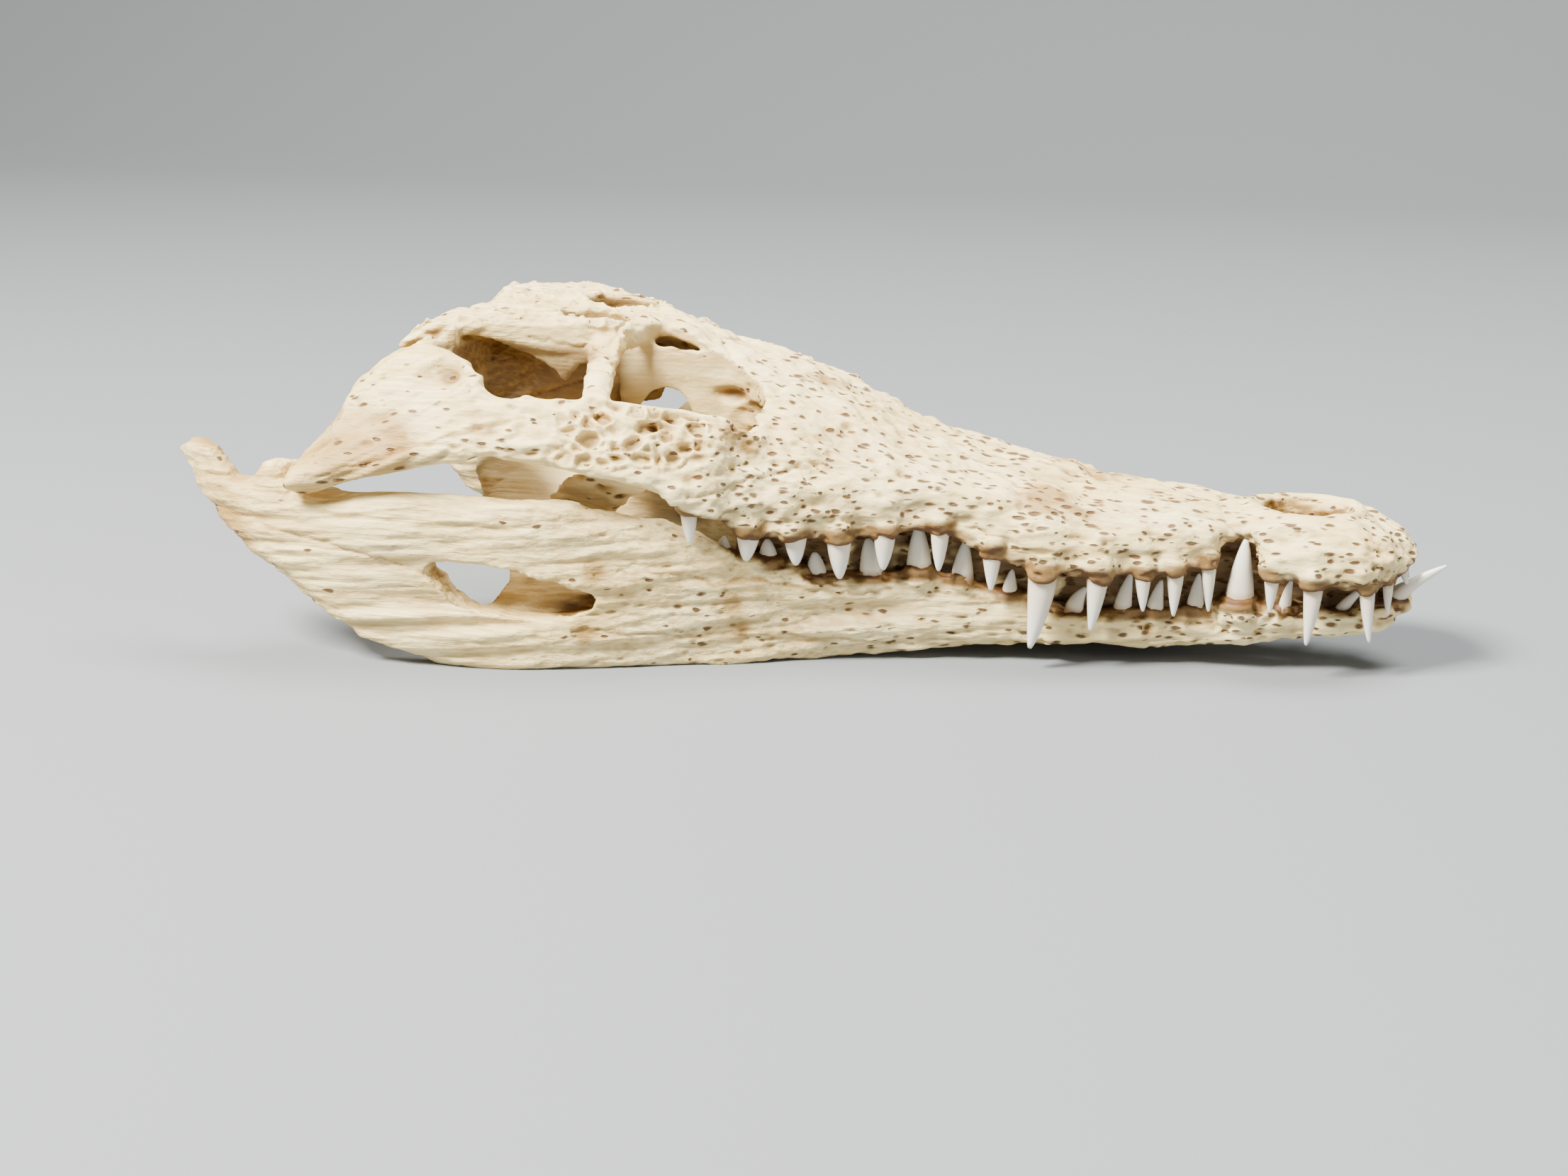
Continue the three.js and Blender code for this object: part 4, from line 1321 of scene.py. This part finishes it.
        # Painted shade: dark brown in shut-in places, deep pits, along the tooth rows and in the relief's shaded
        # hollows.
        deep = smoothstep(0.4, 0.95, shut) * 0.85 + smoothstep(0.5, 1.3, pits) * 0.7
        deep += gum * (0.6 + shut * 0.9) + self.relief.painted_shade(surface) * 0.9
        colour = mix(colour, BONE.deep, np.clip(deep, 0, 0.97))
        store_colour(mesh, "tone", colour)
        detail = self.relief.detail(surface) * (1 - gum)[:, None]
        store_colour(mesh, "detail", np.hstack([detail, np.zeros((len(detail), 1))]))
        mesh.attributes.remove(mesh.attributes["pit"])

    def _gum_stain(self, surface: Surface) -> Array:
        """Painted shade, as brown, on the collars and ridges along the tooth row.

        Args:
            surface: vertices of the bone.

        Returns:
            (n,) values from 0 to 1.
        """
        total = np.zeros(len(surface.points))
        beyond = self.row.value
        for tooth, side in self.teeth:
            middle = np.array(tooth.centre(tooth.collar * 0.6, side))
            gap = np.linalg.norm((surface.points - middle) * (1, 1, 0.8), axis=1)
            round_it = 1 - smoothstep(1.0, 1.4, gap / (tooth.thick / 2 + 1.9))
            total = np.maximum(total, round_it * smoothstep(-1.6, 0.4, (surface.z - tooth.gum) * beyond))
        for first, second in self._links():
            start = np.array(first)
            way = np.array(second) - start
            along = np.clip((surface.points - start) @ way / (way @ way), 0, 1)
            foot = start + along[:, None] * way
            gap = np.linalg.norm(surface.points - foot, axis=1)
            near = 1 - smoothstep(2.2, 3.6, gap)
            total = np.maximum(total, near * smoothstep(-1.4, 0.6, (surface.z - foot[:, 2]) * beyond) * 0.9)
        return total


@dataclass(frozen=True)
class ToothRow:
    """All the teeth of one row as one mesh of separate crowns.

    Attributes:
        name: object name.
        row: which row.
    """

    name: str
    row: Row

    SIDES = 20
    LEVELS = (-0.1, 0.0, 0.08, 0.18, 0.3, 0.42, 0.54, 0.65, 0.75, 0.84, 0.91, 0.96, 1.0)
    WIDTHS = ((-1, 0.9), (0, 1.04), (0.2, 0.96), (0.45, 0.79), (0.7, 0.56), (0.86, 0.37), (0.95, 0.24), (1, 0.13))

    @property
    def table(self) -> tuple[Tooth, ...]:
        """Teeth of one side, front to back."""
        return UPPER_TEETH if self.row is Row.UPPER else LOWER_TEETH

    def build(self) -> bpy.types.Object:
        """Makes the row's mesh.

        Returns:
            The row's object.
        """
        rng = np.random.default_rng(5 + self.row.value)
        mesh = bmesh.new()
        tone = mesh.verts.layers.float_color.new("tone")
        for side in Side:
            for tooth in self.table:
                if tooth is LOWER_TEETH[0]:
                    tooth = FRONT_FANGS[side]
                self._crown(mesh, tone, tooth, side, rng)
        bmesh.ops.recalc_face_normals(mesh, faces=mesh.faces)
        data = bpy.data.meshes.new(self.name)
        mesh.to_mesh(data)
        mesh.free()
        data.shade_smooth()
        teeth = bpy.data.objects.new(self.name, data)
        bpy.context.scene.collection.objects.link(teeth)
        return teeth

    def _crown(
        self,
        mesh: bmesh.types.BMesh,
        tone: bmesh.types.BMLayerItem,
        tooth: Tooth,
        side: Side,
        rng: np.random.Generator,
    ) -> None:
        """Adds one tooth, root and crown.

        Args:
            mesh: mesh that takes it.
            tone: colour layer of the mesh.
            tooth: the tooth.
            side: half of the skull.
            rng: source of the small differences.
        """
        levels, widths = zip(*self.WIDTHS)
        dull = rng.uniform(0, 0.25)
        blunt = float(smoothstep(110, 170, np.array(tooth.s)))
        rings = []
        for level in self.LEVELS:
            middle = tooth.centre(level, side)
            along = (tooth.centre(level + 0.02, side) - tooth.centre(level - 0.02, side)).normalized()
            fore = (Vector((1, 0, 0)) - along * along.x).normalized()
            across = along.cross(fore)
            reach = tooth.thick * 0.5 * float(np.interp(level, levels, widths)) * (1 + blunt * 0.3 * level)
            colour = self._tone(level, dull)
            ring = []
            for index in range(self.SIDES):
                angle = 2 * math.pi * index / self.SIDES
                flute = 1 + 0.018 * math.cos(angle * 10) * (level > 0.03)
                spot = middle + fore * (reach * flute * math.cos(angle))
                spot += across * (reach * 0.88 * flute * math.sin(angle))
                vertex = mesh.verts.new(spot * MM)
                vertex[tone] = colour
                ring.append(vertex)
            rings.append(ring)
        skin_rings(mesh, rings)

    def _tone(self, level: float, dull: float) -> tuple[float, float, float, float]:
        """Colour of the tooth at a level.

        Args:
            level: 0 at the gum line, 1 at the tip.
            dull: how much of the neck's brown the crown keeps.

        Returns:
            Red, green, blue and alpha.
        """
        at = np.array([level])
        colour = mix(ENAMEL.neck, ENAMEL.crown, smoothstep(0.12, 0.26, at) * (1 - 0.1 * dull))
        colour = mix(colour, ENAMEL.tip, smoothstep(0.3, 0.9, at))
        return (*(float(v) for v in colour[0]), 1.0)


def skin_rings(mesh: bmesh.types.BMesh, rings: list[list[bmesh.types.BMVert]]) -> None:
    """Joins rings of vertices into one closed tube.

    Args:
        mesh: mesh that holds the vertices.
        rings: the rings in order, with as many vertices each.
    """
    for low, high in zip(rings, rings[1:]):
        for index in range(len(low)):
            after = (index + 1) % len(low)
            mesh.faces.new((low[index], low[after], high[after], high[index]))
    mesh.faces.new(rings[0][::-1])
    mesh.faces.new(rings[-1])


def add_tube(mesh: bmesh.types.BMesh, points: list[Vector], radii: list[float]) -> None:
    """Adds a closed round tube to a mesh.

    Args:
        mesh: mesh that takes it.
        points: middle of each ring, mm.
        radii: radius of each ring, mm.
    """
    count = 12
    aim = (points[-1] - points[0]).normalized()
    first = aim.orthogonal().normalized()
    second = aim.cross(first)
    rings = []
    for point, radius in zip(points, radii):
        ring = []
        for index in range(count):
            angle = 2 * math.pi * index / count
            spot = point + (first * math.cos(angle) + second * math.sin(angle)) * radius
            ring.append(mesh.verts.new(spot * MM))
        rings.append(ring)
    skin_rings(mesh, rings)


def mix(low: Array | tuple, high: Array | tuple, share: Array) -> Array:
    """Blend of two colours.

    Args:
        low: colour, or (n, 3) colours, at share 0.
        high: colour, or (n, 3) colours, at share 1.
        share: (n,) values.

    Returns:
        (n, 3) colours.
    """
    low = np.broadcast_to(np.asarray(low, dtype=float), (len(share), 3))
    high = np.broadcast_to(np.asarray(high, dtype=float), (len(share), 3))
    return low + (high - low) * share[:, None]


def apply_modifiers(piece: bpy.types.Object) -> None:
    """Turns an object's modifiers into its mesh.

    Args:
        piece: the object.
    """
    graph = bpy.context.evaluated_depsgraph_get()
    made = bpy.data.meshes.new_from_object(piece.evaluated_get(graph), depsgraph=graph)
    old = piece.data
    piece.modifiers.clear()
    piece.data = made
    bpy.data.meshes.remove(old)
    made.name = piece.name


def read_surface(mesh: bpy.types.Mesh) -> Surface:
    """Reads the vertices and normals of a mesh.

    Args:
        mesh: the mesh, in metres.

    Returns:
        The surface, in millimetres.
    """
    count = len(mesh.vertices)
    points = np.zeros(count * 3)
    normals = np.zeros(count * 3)
    mesh.vertices.foreach_get("co", points)
    mesh.vertices.foreach_get("normal", normals)
    return Surface(points.reshape(-1, 3) / MM, normals.reshape(-1, 3))


def store_colour(mesh: bpy.types.Mesh, name: str, colour: Array) -> None:
    """Writes a colour for each vertex.

    Args:
        mesh: mesh that takes it.
        name: name of the attribute.
        colour: (n, 3) values.
    """
    layer = mesh.color_attributes.new(name, "FLOAT_COLOR", "POINT")
    full = np.ones((len(colour), 4))
    full[:, :3] = colour
    layer.data.foreach_set("color", full.ravel())


def hollowness(shell: bpy.types.Object, surface: Surface, rays: int) -> Array:
    """How shut in each vertex is, from 0 in the open to 1.

    Args:
        shell: the object that shuts it in.
        surface: its vertices.
        rays: rays cast from each vertex.

    Returns:
        (n,) values.
    """
    graph = bpy.context.evaluated_depsgraph_get()
    tree = BVHTree.FromObject(shell, graph)
    rng = np.random.default_rng(3)
    spread = rng.normal(size=(rays, 3))
    spread /= np.linalg.norm(spread, axis=1)[:, None]
    shut = np.zeros(len(surface.points))
    reach = 34 * MM
    starts = (surface.points + surface.normals * 0.5) * MM
    for ray in spread:
        aim = ray + surface.normals * 1.15
        aim /= np.linalg.norm(aim, axis=1)[:, None]
        for index in range(len(starts)):
            hit = tree.ray_cast(Vector(starts[index]), Vector(aim[index]), reach)
            if hit[3] is not None:
                shut[index] += 1 - hit[3] / reach * 0.6
    return shut / rays


@dataclass(frozen=True)
class Graph:
    """Short way of building a material's nodes.

    Attributes:
        tree: node tree that is filled.
    """

    tree: bpy.types.NodeTree

    def link(self, source: object, socket: bpy.types.NodeSocket) -> None:
        """Feeds a socket from another or with a constant.

        Args:
            source: a socket or a constant.
            socket: socket that is fed.
        """
        if isinstance(source, bpy.types.NodeSocket):
            self.tree.links.new(source, socket)
        else:
            socket.default_value = source

    def node(self, kind: str, inputs: dict | None = None, **settings: object) -> bpy.types.Node:
        """New node with its inputs fed and its settings made.

        Args:
            kind: type of the node.
            inputs: what feeds each input.
            settings: the node's own settings.

        Returns:
            The node.
        """
        made = self.tree.nodes.new(kind)
        for name, value in settings.items():
            setattr(made, name, value)
        for key, value in (inputs or {}).items():
            self.link(value, made.inputs[key])
        return made

    def noise(
        self, place: bpy.types.NodeSocket, stretch: tuple[float, float, float], scale: float, detail: float
    ) -> bpy.types.NodeSocket:
        """Stretched noise.

        Args:
            place: coordinates.
            stretch: scale along each axis.
            scale: cells per metre.
            detail: finer layers.

        Returns:
            Its value.
        """
        mapping = self.node("ShaderNodeMapping", {"Vector": place, "Scale": stretch})
        wanted = {"Vector": mapping.outputs["Vector"], "Scale": float(scale), "Detail": float(detail)}
        return self.node("ShaderNodeTexNoise", wanted).outputs["Fac"]

    def math(self, operation: str, first: object, second: object) -> bpy.types.NodeSocket:
        """Result of a sum on two values."""
        return self.node("ShaderNodeMath", {0: first, 1: second}, operation=operation).outputs[0]

    def map(
        self, value: bpy.types.NodeSocket, low: float, high: float, out_low: float, out_high: float
    ) -> bpy.types.NodeSocket:
        """Value moved from one range to another and kept within it.

        Args:
            value: the value.
            low: start of its range.
            high: end of its range.
            out_low: start of the new range.
            out_high: end of the new range.

        Returns:
            The new value.
        """
        wanted = {"Value": value, "From Min": low, "From Max": high, "To Min": out_low, "To Max": out_high}
        return self.node("ShaderNodeMapRange", wanted).outputs["Result"]

    def grey(self, value: bpy.types.NodeSocket) -> bpy.types.NodeSocket:
        """Grey of a value, a little warmer where it is dark.

        Args:
            value: the value.

        Returns:
            The colour.
        """
        green = self.math("POWER", value, 1.25)
        blue = self.math("POWER", value, 1.7)
        wanted = {"Red": value, "Green": green, "Blue": blue}
        return self.node("ShaderNodeCombineColor", wanted).outputs["Color"]

    def mix(self, blend: str, share: object, first: object, second: object) -> bpy.types.NodeSocket:
        """Mix of two colours.

        Args:
            blend: way of blending.
            share: share of the second.
            first: first colour.
            second: second colour.

        Returns:
            The colour.
        """
        inputs = {0: share, 6: first, 7: second}
        return self.node("ShaderNodeMix", inputs, data_type="RGBA", blend_type=blend).outputs[2]


class Materials:
    """Makes the materials."""

    @staticmethod
    def _start(name: str, roughness: float) -> tuple[bpy.types.Material, bpy.types.Node]:
        """New material with a plain surface shader.

        Args:
            name: its name.
            roughness: its roughness.

        Returns:
            The material and its shader.
        """
        material = bpy.data.materials.new(name)
        material.use_nodes = True
        shader = material.node_tree.nodes["Principled BSDF"]
        shader.inputs["Roughness"].default_value = roughness
        return material, shader

    @classmethod
    def bone(cls, finish: BoneFinish) -> bpy.types.Material:
        """Dry bone, coloured by its vertices, with fine grain and painted shade in its slit pits.

        Args:
            finish: its colours.

        Returns:
            The material.
        """
        material, shader = cls._start(finish.name, finish.roughness)
        graph = Graph(material.node_tree)
        tone = graph.node("ShaderNodeAttribute", attribute_name="tone")
        detail = graph.node("ShaderNodeAttribute", attribute_name="detail")
        split = graph.node("ShaderNodeSeparateColor", {"Color": detail.outputs["Color"]})
        place = graph.node("ShaderNodeTexCoord").outputs["Object"]
        slit = cls._slits(graph, place, split.outputs["Red"])
        fibre = graph.noise(place, (0.055, 1, 1), 760, 4)
        cloud = graph.noise(place, (0.4, 1, 1), 90, 5)
        speck = graph.noise(place, (0.5, 1, 1), 900, 3)
        pale = graph.map(cloud, 0.35, 0.62, 0.80, 1.0)
        streak = graph.map(fibre, 0.36, 0.60, 0.0, 1.0)
        fade = graph.math("MULTIPLY", split.outputs["Green"], 0.5)
        shade = graph.math("MULTIPLY", graph.math("SUBTRACT", 1.0, streak), fade)
        base = graph.mix("MULTIPLY", 0.6, tone.outputs["Color"], graph.grey(pale))
        base = graph.mix("MIX", shade, base, (*finish.stain, 1))
        # Painted shade: dark brown inside the slit pits.
        base = graph.mix("MIX", graph.math("MULTIPLY", slit, 0.95), base, (*finish.deep, 1))
        graph.link(base, shader.inputs["Base Color"])
        height = graph.math("MULTIPLY", graph.math("MULTIPLY", fibre, split.outputs["Green"]), 0.6)
        height = graph.math("ADD", height, graph.math("MULTIPLY", speck, 0.22))
        height = graph.math("SUBTRACT", height, graph.math("MULTIPLY", slit, 0.6))
        bump = graph.node("ShaderNodeBump", {"Strength": 0.9, "Distance": 0.0012, "Height": height})
        graph.link(bump.outputs["Normal"], shader.inputs["Normal"])
        shader.inputs["Specular IOR Level"].default_value = 0.35
        return material

    @staticmethod
    def _slits(graph: Graph, place: bpy.types.NodeSocket, density: bpy.types.NodeSocket) -> bpy.types.NodeSocket:
        """Scattered slit pits, 1 inside a pit.

        Args:
            graph: nodes of the material.
            place: coordinates.
            density: share of cells with a pit.

        Returns:
            How far a point lies in a pit.
        """
        slit = SlitFinish()
        turn = (0, math.radians(slit.tilt), 0)
        tilt = graph.node("ShaderNodeMapping", {"Vector": place, "Rotation": turn, "Scale": (slit.stretch, 1, 1)})
        warp = graph.node("ShaderNodeTexNoise", {"Vector": tilt.outputs["Vector"], "Scale": slit.bend_scale})
        inputs = {0: warp.outputs["Color"], 1: (slit.bend, slit.bend, slit.bend)}
        bend = graph.node("ShaderNodeVectorMath", inputs, operation="MULTIPLY")
        spot = graph.node("ShaderNodeVectorMath", {0: tilt.outputs["Vector"], 1: bend.outputs[0]})
        cells = graph.node("ShaderNodeTexVoronoi", {"Vector": spot.outputs[0], "Scale": slit.scale})
        pick = graph.node("ShaderNodeSeparateColor", {"Color": cells.outputs["Color"]})
        chosen = graph.math("LESS_THAN", pick.outputs["Red"], density)
        size = graph.map(pick.outputs["Green"], 0.0, 1.0, *slit.size)
        inside = graph.math("SUBTRACT", 1.0, graph.math("DIVIDE", cells.outputs["Distance"], size))
        return graph.math("MULTIPLY", chosen, graph.map(inside, 0.0, slit.edge, 0.0, 1.0))

    @classmethod
    def enamel(cls, finish: EnamelFinish) -> bpy.types.Material:
        """Smooth tooth, coloured by its vertices.

        Args:
            finish: its finish.

        Returns:
            The material.
        """
        material, shader = cls._start(finish.name, finish.roughness)
        graph = Graph(material.node_tree)
        tone = graph.node("ShaderNodeAttribute", attribute_name="tone")
        graph.link(tone.outputs["Color"], shader.inputs["Base Color"])
        return material

    @classmethod
    def plain(cls, name: str, colour: tuple[float, float, float], roughness: float) -> bpy.types.Material:
        """One even colour.

        Args:
            name: its name.
            colour: linear red, green and blue.
            roughness: its roughness.

        Returns:
            The material.
        """
        material, shader = cls._start(name, roughness)
        shader.inputs["Base Color"].default_value = (*colour, 1)
        return material


@dataclass(frozen=True)
class CameraPlace:
    """Where the camera stands, in millimetres and degrees."""

    across: float = -13.65
    distance: float = 800.0
    height: float = 240.8
    yaw: float = 15.0
    pitch: float = 16.05
    focal_px: float = 3560.0
    width_px: float = 2212.0
    sensor: float = 36.0


@dataclass(frozen=True)
class Lamp:
    """One square light aimed at the skull, in metres and watts."""

    name: str
    place: tuple[float, float, float]
    size: float
    power: float
    tint: tuple[float, float, float]


@dataclass(frozen=True)
class Stage:
    """Floor, lights, sky and camera, in metres.

    Attributes:
        near: Y of the floor's near edge.
        bend_start: Y where the floor starts to curve up.
        bend_radius: radius of that curve.
        wall_top: height of the far edge.
        half_width: half the floor's width.
        floor_colour: colour of the floor.
        sky_colour: colour of the sky.
        sky_strength: strength of the sky.
        aim: point that the lights face.
        lamps: the lights.
    """

    near: float = -2.2
    bend_start: float = 1.1
    bend_radius: float = 0.9
    wall_top: float = 3.2
    half_width: float = 4.0
    floor_colour: tuple[float, float, float] = (0.20, 0.215, 0.225)
    sky_colour: tuple[float, float, float] = (0.92, 0.95, 1.0)
    sky_strength: float = 0.26
    aim: tuple[float, float, float] = (0, 0, 0.05)
    lamps: tuple[Lamp, ...] = (
        Lamp("key", (-0.75, -0.8, 1.3), 0.5, 150.0, (1.0, 0.962, 0.895)),
        Lamp("top", (0.45, 0.35, 1.5), 0.8, 50.0, (1.0, 0.98, 0.95)),
        Lamp("fill", (1.25, -0.85, 0.5), 1.1, 8.0, (0.95, 0.97, 1.0)),
    )

    def build(self) -> None:
        """Sets up everything round the skull."""
        self._floor()
        for lamp in self.lamps:
            self._light(lamp)
        self._sky()
        self._camera(CameraPlace())

    def _floor(self) -> None:
        """Plain floor that curves up far behind."""
        turns = 12
        steps = [(self.near, 0.0), (self.bend_start, 0.0)]
        for index in range(1, turns + 1):
            angle = math.pi / 2 * index / turns
            back = self.bend_start + self.bend_radius * math.sin(angle)
            steps.append((back, self.bend_radius - self.bend_radius * math.cos(angle)))
        steps.append((self.bend_start + self.bend_radius, self.wall_top))
        mesh = bmesh.new()
        rows = [[mesh.verts.new((x, y, z)) for x in (-self.half_width, self.half_width)] for y, z in steps]
        for near, far in zip(rows, rows[1:]):
            mesh.faces.new((near[0], near[1], far[1], far[0]))
        data = bpy.data.meshes.new("floor")
        mesh.to_mesh(data)
        mesh.free()
        data.shade_smooth()
        floor = bpy.data.objects.new("floor", data)
        floor.data.materials.append(Materials.plain("pale_floor", self.floor_colour, 0.85))
        bpy.context.scene.collection.objects.link(floor)

    def _light(self, wanted: Lamp) -> None:
        """Adds one light.

        Args:
            wanted: the light.
        """
        light = bpy.data.lights.new(wanted.name, "AREA")
        light.size = wanted.size
        light.energy = wanted.power
        light.color = wanted.tint
        lamp = bpy.data.objects.new(wanted.name, light)
        lamp.location = wanted.place
        way = Vector(self.aim) - Vector(wanted.place)
        lamp.rotation_euler = way.to_track_quat("-Z", "Y").to_euler()
        bpy.context.scene.collection.objects.link(lamp)

    def _sky(self) -> None:
        """Even light from all sides."""
        world = bpy.data.worlds.new("sky")
        bpy.context.scene.world = world
        world.use_nodes = True
        sky = world.node_tree.nodes["Background"]
        sky.inputs["Color"].default_value = (*self.sky_colour, 1)
        sky.inputs["Strength"].default_value = self.sky_strength

    def _camera(self, place: CameraPlace) -> None:
        """Camera that sees the skull as the photograph does.

        Args:
            place: where it stands.
        """
        data = bpy.data.cameras.new("camera")
        data.sensor_width = place.sensor
        data.lens = place.sensor * place.focal_px / place.width_px
        data.clip_start = 0.05
        camera = bpy.data.objects.new("camera", data)
        yaw = math.radians(place.yaw)
        camera.location = (
            (place.across + place.distance * math.sin(yaw)) * MM,
            -place.distance * math.cos(yaw) * MM,
            place.height * MM,
        )
        camera.rotation_euler = (math.radians(90 - place.pitch), 0, yaw)
        bpy.context.scene.collection.objects.link(camera)
        bpy.context.scene.camera = camera


@dataclass(frozen=True)
class Skull:
    """The whole specimen.

    Attributes:
        frame: the loaded frame.
    """

    frame: dict

    CRANIUM = ("rostrum", "skull_roof", "braincase", "palate")
    CRANIUM_PAIRS = ("jugal", "quadrate", "ectopterygoid")
    JAW = ("dentary", "surangular", "angular", "articular")

    def build(self) -> None:
        """Makes every piece and puts it in the frame's place."""
        bone = Materials.bone(BONE)
        enamel = Materials.enamel(ENAMEL)
        for shell, slot in self._shells():
            piece = shell.build(self.frame)
            for part in self._parts(piece, shell):
                part.data.shade_smooth()
                part.data.materials.append(bone)
                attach(part, "root")
                LOG.info("%s: %d faces", part.name, len(part.data.polygons))
        for row, name in ((Row.UPPER, "upper_teeth"), (Row.LOWER, "lower_teeth")):
            teeth = ToothRow(name, row).build()
            teeth.data.materials.append(enamel)
            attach(teeth, "root")
            LOG.info("%s: %d faces", name, len(teeth.data.polygons))

    def _shells(self) -> list[tuple[BoneShell, str]]:
        """The fused bones, each paired with a slot name.

        Returns:
            Pairs of shell and slot.
        """
        voxel = VOXEL
        nodes = list(self.CRANIUM)
        for side in ("left", "right"):
            nodes += [f"{bone}_{side}" for bone in self.CRANIUM_PAIRS]
        cranium = BoneShell("cranium", nodes, Row.UPPER, tuple(Side), CraniumRelief(), CRANIUM_BUDGET, voxel)
        shells = [(cranium, "cranium_bone")]
        for side in Side:
            name = side.name.lower()
            nodes = [f"{bone}_{name}" for bone in self.JAW]
            jaw = BoneShell(f"jaw_{name}", nodes, Row.LOWER, (side,), JawRelief(), JAW_BUDGET, voxel * 0.9)
            shells.append((jaw, "jaw_bone"))
        return shells

    def _parts(self, piece: bpy.types.Object, shell: BoneShell) -> list[bpy.types.Object]:
        """Splits a heavy piece in two at the middle of its faces, and hides the bones of the frame that it stands
        for.

        Args:
            piece: the finished shell.
            shell: how it was made.

        Returns:
            The piece, or its front and rear parts.
        """
        if len(piece.data.polygons) < PIECE_LIMIT:
            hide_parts(*shell.nodes)
            return [piece]
        mesh = piece.data
        centres = np.zeros(len(mesh.polygons) * 3)
        mesh.polygons.foreach_get("center", centres)
        x = centres.reshape(-1, 3)[:, 0]
        cut = float(np.median(x))
        layer = mesh.attributes.new("smooth_normal", "FLOAT_VECTOR", "POINT")
        layer.data.foreach_set("vector", read_surface(mesh).normals.ravel())
        halves = (("cranium_front", x >= cut), ("cranium_rear", x < cut))
        parts = [self._cut(piece, name, keep) for name, keep in halves]
        bpy.data.objects.remove(piece)
        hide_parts("rostrum")
        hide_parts(*[node for node in shell.nodes if node != "rostrum"])
        return parts

    @staticmethod
    def _cut(piece: bpy.types.Object, name: str, keep: Array) -> bpy.types.Object:
        """Copy of some faces of a piece, shaded as they were before the cut.

        Args:
            piece: the whole piece, with its normals in smooth_normal.
            name: name of the copy.
            keep: which faces stay.

        Returns:
            The copy.
        """
        part = piece.copy()
        part.data = piece.data.copy()
        part.name = name
        bpy.context.scene.collection.objects.link(part)
        work = bmesh.new()
        work.from_mesh(part.data)
        work.faces.ensure_lookup_table()
        gone = [face for face, stays in zip(work.faces, keep) if not stays]
        bmesh.ops.delete(work, geom=gone, context="FACES")
        work.to_mesh(part.data)
        work.free()
        kept = np.zeros(len(part.data.vertices) * 3)
        part.data.attributes["smooth_normal"].data.foreach_get("vector", kept)
        part.data.shade_smooth()
        part.data.normals_split_custom_set_from_vertices(kept.reshape(-1, 3).tolist())
        part.data.attributes.remove(part.data.attributes["smooth_normal"])
        return part


def main() -> None:
    """Builds the scene on the frame."""
    logging.basicConfig(level=logging.INFO, format="%(name)s: %(message)s")
    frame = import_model()
    Skull(frame).build()
    Stage().build()


if __name__ == "__main__":
    main()
